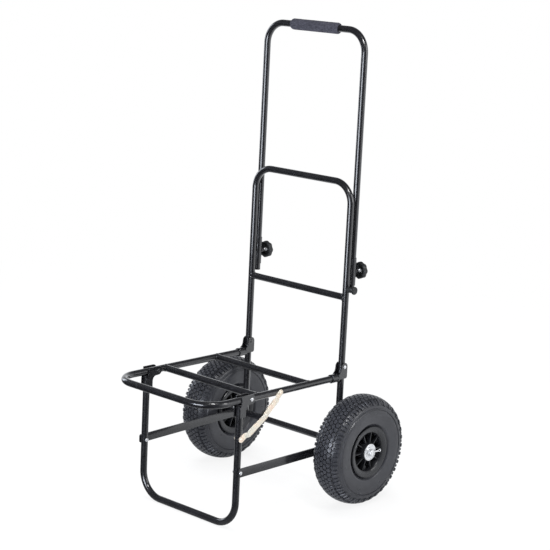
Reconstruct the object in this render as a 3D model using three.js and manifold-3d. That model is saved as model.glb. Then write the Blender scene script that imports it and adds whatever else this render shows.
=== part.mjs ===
import * as THREE from 'three';
import { mergeVertices } from 'three/addons/utils/BufferGeometryUtils.js';
import Module from 'manifold-3d';

const wasm = await Module();
wasm.setup();

// Folding fishing trolley in millimetres. +X is the trolley's right, +Y its back, +Z up.
// The origin is on the ground, under the middle of the trolley.
// The frame is square in itself and leans back about the axle, because the front leg
// is a little longer than the axle is high. All frame sizes below are measured in the
// leaning frame, from the axle: back is +, forward is -, up is +.

// Driving sizes
const tubeDiameter = 16;
const tubeWall = 1.2;
const seatGap = 0.3;
const cutOverrun = 5;
const leanAngle = THREE.MathUtils.degToRad(2.4);

const wheelDiameter = 260;
const frameWidth = 304.8;
const wheelOffset = 66.2;

const backFrameHeight = 616.5;
const backBendRadius = 50;
const crossRailHeight = 349.2;
const platformHeight = 159.5;
const platformLength = 435.5;
const platformBendRadius = 57;
const frontBarPlace = 279;
const rearBarPlace = 110.5;
const legPlace = 336;
const legBendRadius = 58;

const handleHeight = 963;
const handleBendRadius = 50;
const handleLegEnd = 363.5;
const gripLength = 148;
const gripDiameter = 26.5;
const gripChamfer = 4;
const plugDepth = 12;
const plugCap = 2;

const sleeveWall = 1.1;
const sleeveBottom = 377;
const sleeveLength = 65;
const clampHeight = 409;
const bossRadius = 6.5;
const bossReach = 6;
const studRadius = 3;
const knobRadius = 20.5;
const knobThickness = 10.5;
const knobScallop = 1.6;
const knobLobes = 8;
const knobStandoff = 7.9;
const knobRingWidth = 5;
const knobWebThickness = 2;
const nutRadius = 4.3;
const nutThickness = 5;

const pegHeight = 370;
const pegRadius = 7;
const pegLength = 21;
const pegHeadRadius = 9.3;
const pegHeadDepth = 5;
const pegShankRadius = 3.2;
const pegShankDepth = 6;

const sheetThickness = 2;
const rivetRadius = 3;
const rivetHeadRadius = 5.5;
const rivetHeadHeight = 1.6;
const rearPivotRise = 25;
const rearCheekRound = 10;
const rearCheekReach = 37;
const rearCheekLip = 8.8;
const rearCheekCorner = 6;
const frontPivotBack = 27.5;
const frontCheekDrop = 37.5;
const frontCheekRound = 10.5;
const frontCheekFillet = 13;
const frontCheekNose = 3;

const stayHeight = 20;
const stayThickness = 4;
const stayCorner = 4;
const staySplay = 7;
const stayFrontDrop = 5;
const stayEndReach = 6;
const stayEyeRadius = 14;
const stayEyeLength = 30;
const stayFootLength = 12;

const braceWidth = 14;
const braceFootDrop = 87.5;
const braceHeadBack = 121;
const braceLowerLength = 83;
const braceBow = 4.3;
const braceTab = 12;
const braceJoggle = 9;
const braceDiscRadius = 12;
const braceDiscThickness = 1.8;

const tyreWidth = 77.2;
const tyreWall = 5;
const lugCount = 16;
const rimSeatRadius = 51;
const rimFlangeRadius = 61;
const rimFlangeDepth = 6;
const rimWidth = 71;
const rimWall = 5;
const rimWebThickness = 6;
const ribCount = 10;
const ribThickness = 2.4;
const ribInset = 7;
const hubRadius = 21;
const hubLength = 68;
const bearingRadius = 14;
const bearingLength = 20;
const valveRadius = 4.2;
const valveBore = 1.2;
const valveLength = 16;
const innerTubeWall = 2;
const washerRadius = 19.7;
const washerThickness = 1.6;
const washerBossRadius = 13;
const washerBossHeight = 1.5;
const spacerRadius = 12;
const axleWall = 2.5;
const axleEnd = 7;
const splitPinRadius = 1.6;
const splitPinTail = 13;
const splitPinReach = 28;
const splitPinEye = 4.5;

// Sizes that follow from the driving ones
const tubeRadius = tubeDiameter / 2;
const wheelRadius = wheelDiameter / 2;
const frameSide = frameWidth / 2;
const wheelSide = frameSide + wheelOffset;
const sleeveBore = tubeRadius + seatGap;
const sleeveRadius = sleeveBore + sleeveWall;
const handleBack = tubeRadius + seatGap + sleeveRadius;
const cheekInside = tubeRadius + seatGap;
const cheekOutside = cheekInside + sheetThickness;
const rivetHole = rivetRadius + seatGap;
const rivetTop = cheekOutside + seatGap + rivetHeadHeight;
const stayInside = frameSide + tubeRadius + seatGap;
const stayOutside = stayInside + stayThickness;
const stayEyeInside = stayInside + staySplay;
const stayEyeOutside = stayEyeInside + stayThickness;
const hubInside = wheelSide - hubLength / 2;
const hubOutside = wheelSide + hubLength / 2;
const washerOutside = hubOutside + seatGap + washerThickness;
const rearPivot = platformHeight + rearPivotRise;
const frontPivot = -legPlace + frontPivotBack;
const legTop = platformHeight - tubeRadius - seatGap;
const footHeight = (tubeRadius - wheelRadius - legPlace * Math.sin(leanAngle)) / Math.cos(leanAngle);
const frontReach = platformLength * Math.cos(leanAngle) - platformHeight * Math.sin(leanAngle) + tubeRadius;
const middleShift = (frontReach - wheelRadius) / 2;

const tubeSides = 12;
const holeSides = 8;
const nutSides = 6;
const roundSides = 16;
const wheelSides = 32;
const bendSteps = 5;
const both = { left: -1, right: 1 };

const looks = {
  frame: { color: 0x151619, roughness: 0.28, metalness: 0.1 },
  foam: { color: 0x3c3c44, roughness: 0.95, metalness: 0 },
  plastic: { color: 0x1b1c1e, roughness: 0.5, metalness: 0 },
  zinc: { color: 0xc9cbce, roughness: 0.32, metalness: 0.9 },
  passivated: { color: 0xcfc3ae, roughness: 0.42, metalness: 0.7 },
  rim: { color: 0x17181a, roughness: 0.4, metalness: 0 },
  tyre: { color: 0x2a2b2e, roughness: 0.8, metalness: 0 },
  steel: { color: 0x8d9094, roughness: 0.4, metalness: 0.85 },
};

const point = (x, y, z) => new THREE.Vector3(x, y, z);

// A run of straight stretches with round corners, with a station only where it starts, turns or ends.
class BentRun extends THREE.Curve {
  constructor(corners, bendRadius) {
    super();
    this.stations = [];
    corners.forEach((corner, index) => this.turn(corners, index, bendRadius));
  }

  turn(corners, index, bendRadius) {
    const here = corners[index];
    const before = index > 0 ? here.clone().sub(corners[index - 1]).normalize() : null;
    const after = index < corners.length - 1 ? corners[index + 1].clone().sub(here).normalize() : null;
    if (!before || !after) {
      this.stations.push({ place: here.clone(), way: (before || after).clone() });
      return;
    }
    const turning = before.angleTo(after);
    const pivot = before.clone().cross(after).normalize();
    const start = here.clone().addScaledVector(before, -bendRadius * Math.tan(turning / 2));
    const spoke = before.clone().cross(pivot).multiplyScalar(bendRadius);
    const centre = start.clone().sub(spoke);
    for (let step = 0; step <= bendSteps; step += 1) {
      const angle = (turning * step) / bendSteps;
      const place = centre.clone().add(spoke.clone().applyAxisAngle(pivot, angle));
      this.stations.push({ place, way: before.clone().applyAxisAngle(pivot, angle) });
    }
  }

  at(share) {
    return this.stations[Math.round(share * (this.stations.length - 1))];
  }

  getPointAt(share) {
    return this.at(share).place.clone();
  }

  getTangentAt(share) {
    return this.at(share).way.clone();
  }
}

// A polygon whose flats lie at the given radius and face along the section's own axes.
function polygon(radius, sides, turn = 0) {
  const corners = [];
  const cornerRadius = radius / Math.cos(Math.PI / sides);
  for (let side = 0; side < sides; side += 1) {
    const angle = ((side + 1 / 2) * 2 * Math.PI) / sides + turn;
    corners.push(new THREE.Vector2(cornerRadius * Math.cos(angle), cornerRadius * Math.sin(angle)));
  }
  return corners;
}

function sweep(shape, run) {
  const steps = run.stations.length - 1;
  return new THREE.ExtrudeGeometry(shape, { steps, bevelEnabled: false, extrudePath: run });
}

// A tube along a bent run, open at both ends.
function tube(radius, wall, corners, bendRadius, turn = 0) {
  const shape = new THREE.Shape(polygon(radius, tubeSides, turn));
  shape.holes.push(new THREE.Path(polygon(radius - wall, tubeSides, turn)));
  return solid(sweep(shape, new BentRun(corners, bendRadius)));
}

function rod(radius, from, to, sides = tubeSides) {
  return solid(sweep(new THREE.Shape(polygon(radius, sides)), new BentRun([from, to], 0)));
}

// A ring or sleeve along X. Its corners lie on the outer radius and its flats on the bore's.
function collar(outer, bore, from, to) {
  const shape = new THREE.Shape(polygon(outer * Math.cos(Math.PI / roundSides), roundSides));
  shape.holes.push(new THREE.Path(polygon(bore, roundSides)));
  return solid(sweep(shape, new BentRun([point(from, 0, 0), point(to, 0, 0)], 0)));
}

// A round body about the X axis. Its outline is a list of [place along X, radius].
function turned(outline, sides) {
  const points = outline.map(([along, radius]) => new THREE.Vector2(radius, along));
  return solid(new THREE.LatheGeometry(points, sides).rotateZ(-Math.PI / 2));
}

// A flat plate whose outline is drawn in the Y-Z plane, between two places along X.
function plate(shape, from, to) {
  const settings = { depth: to - from, bevelEnabled: false, curveSegments: bendSteps };
  const geometry = new THREE.ExtrudeGeometry(shape, settings);
  const turn = new THREE.Matrix4().makeBasis(point(0, 1, 0), point(0, 0, 1), point(1, 0, 0));
  return solid(geometry.applyMatrix4(turn).translate(from, 0, 0));
}

function block(low, high) {
  const size = high.clone().sub(low);
  const middle = low.clone().add(high).multiplyScalar(1 / 2);
  return solid(new THREE.BoxGeometry(size.x, size.y, size.z).translate(middle.x, middle.y, middle.z));
}

// A closed geometry as a solid, with its faces pointing out.
function solid(geometry) {
  geometry.deleteAttribute('normal');
  geometry.deleteAttribute('uv');
  const merged = mergeVertices(geometry.index ? geometry : mergeVertices(geometry));
  const places = Float32Array.from(merged.attributes.position.array);
  const corners = withoutSlivers(Array.from(merged.index.array));
  if (signedVolume(places, corners) < 0) corners.reverse();
  const triVerts = Uint32Array.from(corners);
  return new wasm.Manifold(new wasm.Mesh({ numProp: 3, vertProperties: places, triVerts }));
}

function withoutSlivers(corners) {
  const kept = [];
  for (let at = 0; at < corners.length; at += 3) {
    const [a, b, c] = corners.slice(at, at + 3);
    if (a !== b && b !== c && c !== a) kept.push(a, b, c);
  }
  return kept;
}

function signedVolume(places, corners) {
  const corner = (at) => point().fromArray(places, corners[at] * 3);
  let volume = 0;
  for (let at = 0; at < corners.length; at += 3) {
    volume += corner(at).dot(corner(at + 1).cross(corner(at + 2)));
  }
  return volume;
}

function join(...solids) {
  return solids.reduce((whole, piece) => whole.add(piece));
}

function cut(whole, ...tools) {
  return tools.reduce((rest, tool) => rest.subtract(tool), whole);
}

function piece(parent, name, shape, look) {
  const mesh = shape.getMesh();
  const geometry = new THREE.BufferGeometry();
  geometry.setAttribute('position', new THREE.BufferAttribute(mesh.vertProperties, 3));
  geometry.setIndex(new THREE.BufferAttribute(mesh.triVerts, 1));
  geometry.computeVertexNormals();
  const made = new THREE.Mesh(geometry, new THREE.MeshStandardMaterial(looks[look]));
  made.name = name;
  parent.add(made);
  return made;
}

// A hole along X through one side's tube or cheeks.
function crossHole(side, y, z, radius = rivetHole) {
  const middle = side * frameSide;
  const reach = cheekOutside + cutOverrun;
  return rod(radius, point(middle - reach, y, z), point(middle + reach, y, z), holeSides);
}

// A rivet along X: a shank between two places, with a domed head at each end that has one.
function rivet(y, z, from, to, headAtFrom = true, headAtTo = true) {
  const crownRadius = rivetHeadRadius * 2 / 3;
  const outline = [];
  if (headAtFrom) {
    outline.push([from - rivetHeadHeight, 0], [from - rivetHeadHeight, crownRadius]);
    outline.push([from, rivetHeadRadius], [from, rivetRadius]);
  } else {
    outline.push([from, 0], [from, rivetRadius]);
  }
  if (headAtTo) {
    outline.push([to, rivetRadius], [to, rivetHeadRadius]);
    outline.push([to + rivetHeadHeight, crownRadius], [to + rivetHeadHeight, 0]);
  } else {
    outline.push([to, rivetRadius], [to, 0]);
  }
  return turned(outline, tubeSides).translate(0, y, z);
}

// A rivet with a head at one end only.
function halfRivet(y, z, headEnd, plainEnd) {
  if (headEnd < plainEnd) return rivet(y, z, headEnd, plainEnd, true, false);
  return rivet(y, z, plainEnd, headEnd, false, true);
}

// A bent tube shaped like an upside-down U, or a U if the middle is the lower part.
function hoop(y, endHeight, middleHeight, bendRadius, turn = 0) {
  const corners = [
    point(-frameSide, y, endHeight),
    point(-frameSide, y, middleHeight),
    point(frameSide, y, middleHeight),
    point(frameSide, y, endHeight),
  ];
  return tube(tubeRadius, tubeWall, corners, bendRadius, turn);
}

// A straight tube between the two side tubes, with its ends shaped to them.
function crossTube(y, z, alongY) {
  const bar = tube(tubeRadius, tubeWall, [point(-frameSide, y, z), point(frameSide, y, z)], 0);
  const way = alongY ? point(0, frameSide, 0) : point(0, 0, frameSide);
  const sides = Object.values(both).map((side) => {
    const middle = point(side * frameSide, y, z);
    return rod(tubeRadius + seatGap, middle.clone().sub(way), middle.clone().add(way));
  });
  return cut(bar, ...sides);
}

// Back frame: the bent tube, its cross rail, the axle and what is fixed to them
function backFrame(parent) {
  const seat = rod(tubeRadius + seatGap, point(-wheelSide, 0, 0), point(wheelSide, 0, 0));
  const pivots = Object.values(both).map((side) => crossHole(side, 0, rearPivot));
  const pegPlace = point(frameSide, 0, pegHeight);
  const pegHole = rod(pegShankRadius + seatGap, pegPlace, pegPlace.clone().setX(frameSide + tubeDiameter));
  const bent = hoop(0, 0, backFrameHeight, backBendRadius);
  piece(parent, 'back_frame_tube', cut(bent, seat, ...pivots, pegHole), 'frame');
  piece(parent, 'back_cross_rail', crossTube(0, crossRailHeight, false), 'frame');
  piece(parent, 'side_peg', sidePeg(), 'plastic');
  Object.entries(both).forEach(([side, sign]) => {
    piece(parent, `handle_sleeve_${side}`, handleSleeve(sign), 'frame');
  });
}

// A short peg with a round head, on the outside of the right upright.
function sidePeg() {
  const seat = frameSide + tubeRadius + seatGap;
  const end = frameSide + tubeRadius + pegLength;
  const outline = [
    [seat - pegShankDepth, 0],
    [seat - pegShankDepth, pegShankRadius],
    [seat, pegShankRadius],
    [seat, pegRadius],
    [end - pegHeadDepth, pegRadius],
    [end - pegHeadDepth, pegHeadRadius],
    [end - pegHeadDepth / 3, pegHeadRadius],
    [end, pegHeadRadius * 2 / 3],
    [end, 0],
  ];
  return turned(outline, tubeSides).translate(0, 0, pegHeight);
}

// A short tube that guides one leg of the handle, with the clamp's boss at its back.
function handleSleeve(side) {
  const low = point(side * frameSide, handleBack, sleeveBottom);
  const high = low.clone().setZ(sleeveBottom + sleeveLength);
  const clamp = point(side * frameSide, handleBack, clampHeight);
  const bossEnd = clamp.clone().setY(handleBack + sleeveRadius + bossReach);
  const outside = join(rod(sleeveRadius, low, high), rod(bossRadius, clamp, bossEnd));
  const past = point(0, cutOverrun, 0);
  const over = point(0, 0, cutOverrun);
  const bore = rod(sleeveBore, low.clone().sub(over), high.clone().add(over));
  const threadedHole = rod(studRadius + seatGap, clamp, bossEnd.clone().add(past), holeSides);
  return cut(outside, bore, threadedHole);
}

// Axle with the wheels' spacers, washers and split pins
function axleParts(parent) {
  const end = washerOutside + axleEnd;
  const pinPlace = washerOutside + washerBossHeight + seatGap + splitPinRadius;
  const bore = collar(tubeRadius, tubeRadius - axleWall, -end, end);
  const holes = Object.values(both).map((side) => {
    const middle = point(side * pinPlace, 0, 0);
    const reach = point(0, tubeDiameter, 0);
    return rod(splitPinRadius + seatGap, middle.clone().sub(reach), middle.clone().add(reach));
  });
  piece(parent, 'axle', cut(bore, ...holes), 'steel');
  Object.entries(both).forEach(([side, sign]) => {
    const spacer = (from, to) => collar(spacerRadius, sleeveBore, sign * from, sign * to);
    const inner = spacer(frameSide + tubeRadius + seatGap, stayEyeInside - seatGap);
    piece(parent, `axle_spacer_inner_${side}`, inner, 'zinc');
    piece(parent, `axle_spacer_outer_${side}`, spacer(stayEyeOutside + seatGap, hubInside - seatGap), 'zinc');
    piece(parent, `hub_washer_${side}`, hubWasher(sign), 'zinc');
    piece(parent, `split_pin_${side}`, splitPin(sign * pinPlace), 'zinc');
  });
}

// A lathe's corners lie on its radius, so a round bore that is turned is made larger by this.
const turnedBore = sleeveBore / Math.cos(Math.PI / roundSides);

function hubWasher(side) {
  const seat = hubOutside + seatGap;
  const outline = [
    [seat, turnedBore],
    [seat, washerRadius],
    [washerOutside, washerRadius],
    [washerOutside, washerBossRadius],
    [washerOutside + washerBossHeight, washerBossRadius - washerBossHeight],
    [washerOutside + washerBossHeight, turnedBore],
    [seat, turnedBore],
  ];
  return turned(outline.map(([along, radius]) => [side * along, radius]), roundSides);
}

// A split pin through the axle's end, with its eye towards the back.
function splitPin(x) {
  const shank = rod(splitPinRadius, point(x, -splitPinTail, 0), point(x, splitPinReach, 0));
  const eye = new THREE.TorusGeometry(splitPinEye, splitPinRadius, bendSteps, tubeSides);
  return join(shank, solid(eye.rotateY(Math.PI / 2).translate(x, splitPinReach + splitPinEye - splitPinRadius, 0)));
}

// Wheel: pneumatic tyre and inner tube on a ribbed plastic rim that turns on two bearings
function wheel(parent, side, sign) {
  const place = point(sign * wheelSide, 0, 0);
  const group = new THREE.Group();
  group.position.copy(place);
  parent.add(group);
  piece(group, `tyre_${side}`, tyre(), 'tyre');
  piece(group, `inner_tube_${side}`, innerTube(sign), 'tyre');
  piece(group, `rim_${side}`, rim(sign), 'rim');
  const bearingEnd = hubLength / 2;
  const bearing = collar(bearingRadius, sleeveBore, bearingEnd - bearingLength, bearingEnd);
  piece(group, `bearing_inner_${side}`, bearing.translate(sign > 0 ? bearingLength - hubLength : 0, 0, 0), 'steel');
  piece(group, `bearing_outer_${side}`, bearing.translate(sign > 0 ? 0 : bearingLength - hubLength, 0, 0), 'steel');
}

// The tyre's section, open towards the rim: shares of its half width, and of its height above the bead.
const tyreOuterShares = [
  [0.755, 0], [0.76, 0.13], [0.93, 0.215], [0.97, 0.36],
  [1, 0.58], [0.9, 0.85], [0.5, 0.965], [0, 1],
];
const tyreInnerShares = [[0.7, 0], [0.72, 0.24], [1, 0.5], [0.72, 0.9], [0, 1]];

function tyreSection(shares, halfWidth, low, high) {
  const half = shares.map(([across, up]) => [across * halfWidth, low + up * (high - low)]);
  const other = half.slice(0, -1).reverse().map(([across, up]) => [-across, up]);
  return [...half, ...other];
}

function tyre() {
  const bead = rimSeatRadius + seatGap;
  const outside = tyreSection(tyreOuterShares, tyreWidth / 2, bead, wheelRadius);
  const inside = tyreSection(tyreInnerShares, tyreWidth / 2 - tyreWall, bead, wheelRadius - tyreWall).reverse();
  const carcass = turned([...outside, ...inside, outside[0]], wheelSides);
  return join(carcass, ...treadLugs());
}

// Blocks of the tread on each shoulder, one to every other flat of the tyre.
// Their section is drawn in shares of the tyre's half width and of the wheel's radius.
const lugShares = [[0.54, 0.956], [0.86, 0.9], [0.88, 0.94], [0.58, 0.994]];
const lugLengthShare = 0.62;

function treadLugs() {
  const length = (lugLengthShare * 2 * Math.PI * wheelRadius) / wheelSides;
  const corners = lugShares.map(([across, up]) => new THREE.Vector2(across * tyreWidth / 2, up * wheelRadius));
  const geometry = new THREE.ExtrudeGeometry(new THREE.Shape(corners), { depth: length, bevelEnabled: false });
  const lug = solid(geometry.rotateX(Math.PI / 2).translate(0, length / 2, 0));
  const turns = Array.from({ length: lugCount }, (_, index) => ((index + 1 / 4) * 360) / lugCount);
  return turns.flatMap((turn) => [lug, lug.mirror([1, 0, 0])].map((block) => block.rotate([turn, 0, 0])));
}

// The inner tube fills the tyre. Its valve leaves through the rim and opens its hollow.
function innerTube(side) {
  const gap = tyreWall + 3 * seatGap;
  const low = (rimSeatRadius + 2 * seatGap) / Math.cos(Math.PI / roundSides);
  const high = wheelRadius - gap;
  const halfWidth = tyreWidth / 2 - gap;
  const outside = tyreSection(tyreInnerShares, halfWidth, low, high);
  const inside = tyreSection(tyreInnerShares, halfWidth - innerTubeWall, low + innerTubeWall, high - innerTubeWall);
  const round = turned([...outside, outside[0]], roundSides);
  const hollow = turned([...inside, inside[0]], roundSides);
  const top = point(side * rimWidth / 4, 0, -low - innerTubeWall);
  const end = top.clone().setZ(valveLength - low);
  const over = point(0, 0, cutOverrun);
  const stem = rod(valveRadius, top, end, holeSides);
  const bore = rod(valveBore, top.clone().sub(over), end.clone().add(over), holeSides);
  return cut(join(cut(round, hollow), stem), bore);
}

function rim(side) {
  const end = rimWidth / 2;
  const inner = rimSeatRadius - rimWall;
  const web = rimWebThickness / 2;
  const half = [
    [hubLength / 2, bearingRadius + 2 * seatGap],
    [hubLength / 2, hubRadius],
    [web, hubRadius + rimWebThickness],
    [web, inner - rimWall],
    [end - rimFlangeDepth - rimWall, inner],
    [end, rimFlangeRadius - rimWall],
    [end - rimFlangeDepth / 2, rimFlangeRadius],
    [end - rimFlangeDepth, rimSeatRadius],
  ];
  const other = half.slice().reverse().map(([along, radius]) => [-along, radius]);
  const body = turned([...half, ...other, half[0]], wheelSides);
  const middle = point(side * rimWidth / 4, 0, 0);
  const valveHole = rod(valveRadius + seatGap, middle, middle.clone().setZ(-rimSeatRadius - cutOverrun), holeSides);
  return cut(join(body, ...rimRibs()), valveHole);
}

// Thin ribs between the hub and the rim's ring, on both faces of the web.
function rimRibs() {
  const reach = rimWidth / 2 - ribInset;
  const low = point(-reach, -ribThickness / 2, hubRadius - rimWall / 2);
  const rib = block(low, point(reach, ribThickness / 2, rimSeatRadius - rimWall / 2));
  return Array.from({ length: ribCount }, (_, index) => rib.rotate([((index + 1 / 2) * 360) / ribCount, 0, 0]));
}

// Platform: a U-shaped tube, open at the back, with two bars and a hinge bracket at each rear end
function platform(parent) {
  const rearEnd = -tubeRadius - 2 * seatGap;
  const corners = [
    point(-frameSide, rearEnd, platformHeight),
    point(-frameSide, -platformLength, platformHeight),
    point(frameSide, -platformLength, platformHeight),
    point(frameSide, rearEnd, platformHeight),
  ];
  const bent = tube(tubeRadius, tubeWall, corners, platformBendRadius);
  const holes = Object.values(both).map((side) => crossHole(side, frontPivot, platformHeight));
  const head = braceHeadPlace();
  piece(parent, 'platform_tube', cut(bent, ...holes, crossHole(1, head.x, head.y)), 'frame');
  piece(parent, 'platform_bar_front', crossTube(-frontBarPlace, platformHeight, true), 'frame');
  piece(parent, 'platform_bar_rear', crossTube(-rearBarPlace, platformHeight, true), 'frame');
  Object.entries(both).forEach(([side, sign]) => {
    const middle = sign * frameSide;
    const seat = cheekOutside + seatGap;
    piece(parent, `rear_hinge_bracket_${side}`, rearBracket(sign), 'frame');
    piece(parent, `rear_hinge_rivet_${side}`, rivet(0, rearPivot, middle - seat, middle + seat), 'zinc');
  });
}

// Two cheeks either side of a tube, and the web that joins them.
function channel(side, cheek, webLow, webHigh, hole) {
  const middle = side * frameSide;
  const left = plate(cheek, middle - cheekOutside, middle - cheekInside);
  const right = plate(cheek, middle + cheekInside, middle + cheekOutside);
  const web = block(webLow.setX(middle - cheekOutside), webHigh.setX(middle + cheekOutside));
  return cut(join(left, right, web), hole);
}

function rearBracket(side) {
  const bottom = platformHeight - tubeRadius - seatGap - sheetThickness;
  const lip = platformHeight + rearCheekLip;
  const cheek = new THREE.Shape();
  cheek.moveTo(-rearCheekReach, bottom);
  cheek.lineTo(rearCheekRound - rearCheekCorner, bottom);
  cheek.quadraticCurveTo(rearCheekRound, bottom, rearCheekRound, bottom + rearCheekCorner);
  cheek.lineTo(rearCheekRound, rearPivot);
  cheek.absarc(0, rearPivot, rearCheekRound, 0, Math.PI, false);
  cheek.quadraticCurveTo(-rearCheekRound, lip, -rearCheekReach, lip);
  const webLow = point(0, -rearCheekReach, bottom);
  const webHigh = point(0, -rearCheekRound - sheetThickness, bottom + sheetThickness);
  return channel(side, cheek, webLow, webHigh, crossHole(side, 0, rearPivot));
}

// Front leg: a U-shaped tube with a bracket at each top end, which turns on the platform
function frontLeg(parent) {
  const foot = braceFootPlace();
  const braceHole = crossHole(1, foot.x, foot.y);
  const stayHoles = Object.values(both).map((side) => crossHole(side, -legPlace, -stayFrontDrop));
  const leg = cut(hoop(-legPlace, legTop, footHeight, legBendRadius, leanAngle), braceHole, ...stayHoles);
  piece(parent, 'front_leg_tube', leg, 'frame');
  Object.entries(both).forEach(([side, sign]) => {
    const middle = sign * frameSide;
    const seat = cheekOutside + seatGap;
    piece(parent, `leg_bracket_${side}`, legBracket(sign), 'frame');
    piece(parent, `leg_hinge_rivet_${side}`, rivet(frontPivot, platformHeight, middle - seat, middle + seat), 'zinc');
    const [headEnd, plainEnd] = [middle - sign * (tubeRadius + seatGap), middle + sign * tubeRadius];
    piece(parent, `stay_rivet_tail_${side}`, halfRivet(-legPlace, -stayFrontDrop, headEnd, plainEnd), 'zinc');
  });
}

function legBracket(side) {
  const rear = -legPlace + cheekOutside;
  const front = -legPlace - tubeRadius;
  const bottom = platformHeight - frontCheekDrop;
  const tabLow = platformHeight - frontCheekRound;
  const tabHigh = platformHeight + frontCheekRound;
  const cheek = new THREE.Shape();
  cheek.moveTo(front, bottom);
  cheek.lineTo(rear, bottom);
  cheek.lineTo(rear, tabLow - frontCheekFillet);
  cheek.quadraticCurveTo(rear, tabLow, rear + frontCheekFillet, tabLow);
  cheek.absarc(frontPivot, platformHeight, frontCheekRound, -Math.PI / 2, Math.PI / 2, false);
  cheek.lineTo(-legPlace - frontCheekNose, tabHigh);
  cheek.lineTo(-legPlace - frontCheekNose, platformHeight);
  cheek.quadraticCurveTo(-legPlace - frontCheekNose, tabLow, front, tabLow - frontCheekNose);
  const webLow = point(0, rear - sheetThickness, bottom);
  const webHigh = point(0, rear, tabLow - frontCheekFillet);
  return channel(side, cheek, webLow, webHigh, crossHole(side, frontPivot, platformHeight));
}

// Stays: a flat bar on each side, from the axle to the front leg
function stay(parent, side, sign) {
  const group = new THREE.Group();
  group.rotation.x = Math.atan2(stayFrontDrop, legPlace);
  parent.add(group);
  const reach = Math.hypot(legPlace, stayFrontDrop);
  const ends = [sign * (stayInside - cutOverrun), sign * (stayEyeOutside + cutOverrun)].sort((a, b) => a - b);
  const axleHole = rod(sleeveBore, point(ends[0], 0, 0), point(ends[1], 0, 0), roundSides);
  const legHole = rod(rivetHole, point(ends[0], -reach, 0), point(ends[1], -reach, 0), holeSides);
  const bar = stayStrip(sign, reach).intersect(plate(stayOutline(reach), ...ends));
  piece(group, `stay_${side}`, cut(bar, axleHole, legHole), 'frame');
  const half = halfRivet(-reach, 0, sign * (stayOutside + seatGap), sign * stayInside);
  piece(group, `stay_rivet_${side}`, half, 'zinc');
}

// The bar seen from above: it lies against the leg and spreads out towards the axle.
function stayStrip(side, reach) {
  const front = stayFootLength - reach;
  const inner = [
    [stayInside, -reach - stayEndReach],
    [stayInside, front],
    [stayEyeInside, -stayEyeLength],
    [stayEyeInside, stayEyeRadius],
  ];
  const outer = inner.map(([across, along]) => [across + stayThickness, along]).reverse();
  const corners = [...inner, ...outer].map(([across, along]) => new THREE.Vector2(side * across, along));
  const settings = { depth: 2 * stayEyeRadius, bevelEnabled: false };
  const strip = new THREE.ExtrudeGeometry(new THREE.Shape(corners), settings);
  return solid(strip.translate(0, 0, -stayEyeRadius));
}

// The bar seen from the side: a round eye about the axle, and an end with rounded corners past the leg.
function stayOutline(reach) {
  const half = stayHeight / 2;
  const front = -reach - stayEndReach;
  const outline = new THREE.Shape();
  outline.absarc(0, 0, stayEyeRadius, -Math.PI / 2, Math.PI / 2, false);
  outline.lineTo(-stayEyeLength, half);
  outline.lineTo(front + stayCorner, half);
  outline.quadraticCurveTo(front, half, front, half - stayCorner);
  outline.lineTo(front, stayCorner - half);
  outline.quadraticCurveTo(front, -half, front + stayCorner, -half);
  outline.lineTo(-stayEyeLength, -half);
  return outline;
}

// Brace: two flat links on the right side, from the front leg to the platform's side tube
const braceFootPlace = () => new THREE.Vector2(-legPlace, platformHeight - braceFootDrop);
const braceHeadPlace = () => new THREE.Vector2(braceHeadBack - legPlace, platformHeight);

// The middle joint lies a little below and behind the line between the brace's two ends.
function braceElbow() {
  const foot = braceFootPlace();
  const way = braceHeadPlace().sub(foot).normalize();
  const along = Math.sqrt(braceLowerLength ** 2 - braceBow ** 2);
  return foot.addScaledVector(way, along).add(new THREE.Vector2(way.y, -way.x).multiplyScalar(braceBow));
}

const braceTabPlace = frameSide + tubeRadius + seatGap;
const braceUpperPlace = frameSide + rivetTop + seatGap;
const braceLowerPlace = braceUpperPlace + sheetThickness + seatGap;

// A flat link along +Y from its tab to its joint. It steps out along X past the tab.
function braceLink(length, mainPlace) {
  const end = length + braceWidth / 2;
  const profile = new THREE.Shape();
  profile.moveTo(braceTabPlace, -braceWidth / 2);
  profile.lineTo(braceTabPlace, braceTab);
  profile.lineTo(mainPlace, braceTab + braceJoggle);
  profile.lineTo(mainPlace, end);
  profile.lineTo(mainPlace + sheetThickness, end);
  profile.lineTo(mainPlace + sheetThickness, braceTab + braceJoggle);
  profile.lineTo(braceTabPlace + sheetThickness, braceTab);
  profile.lineTo(braceTabPlace + sheetThickness, -braceWidth / 2);
  const strip = new THREE.ExtrudeGeometry(profile, { depth: braceWidth, bevelEnabled: false });
  const outline = new THREE.Shape();
  outline.absarc(length, 0, braceWidth / 2, -Math.PI / 2, Math.PI / 2, false);
  outline.absarc(0, 0, braceWidth / 2, Math.PI / 2, (3 * Math.PI) / 2, false);
  const ends = [braceTabPlace - cutOverrun, mainPlace + sheetThickness + cutOverrun];
  const hole = (along) => rod(rivetHole, point(ends[0], along, 0), point(ends[1], along, 0));
  const link = solid(strip.translate(0, 0, -braceWidth / 2)).intersect(plate(outline, ...ends));
  return cut(link, hole(0), hole(length));
}

function turnedGroup(parent, y, z, angle) {
  const group = new THREE.Group();
  group.position.set(0, y, z);
  group.rotation.x = angle;
  parent.add(group);
  return group;
}

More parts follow.
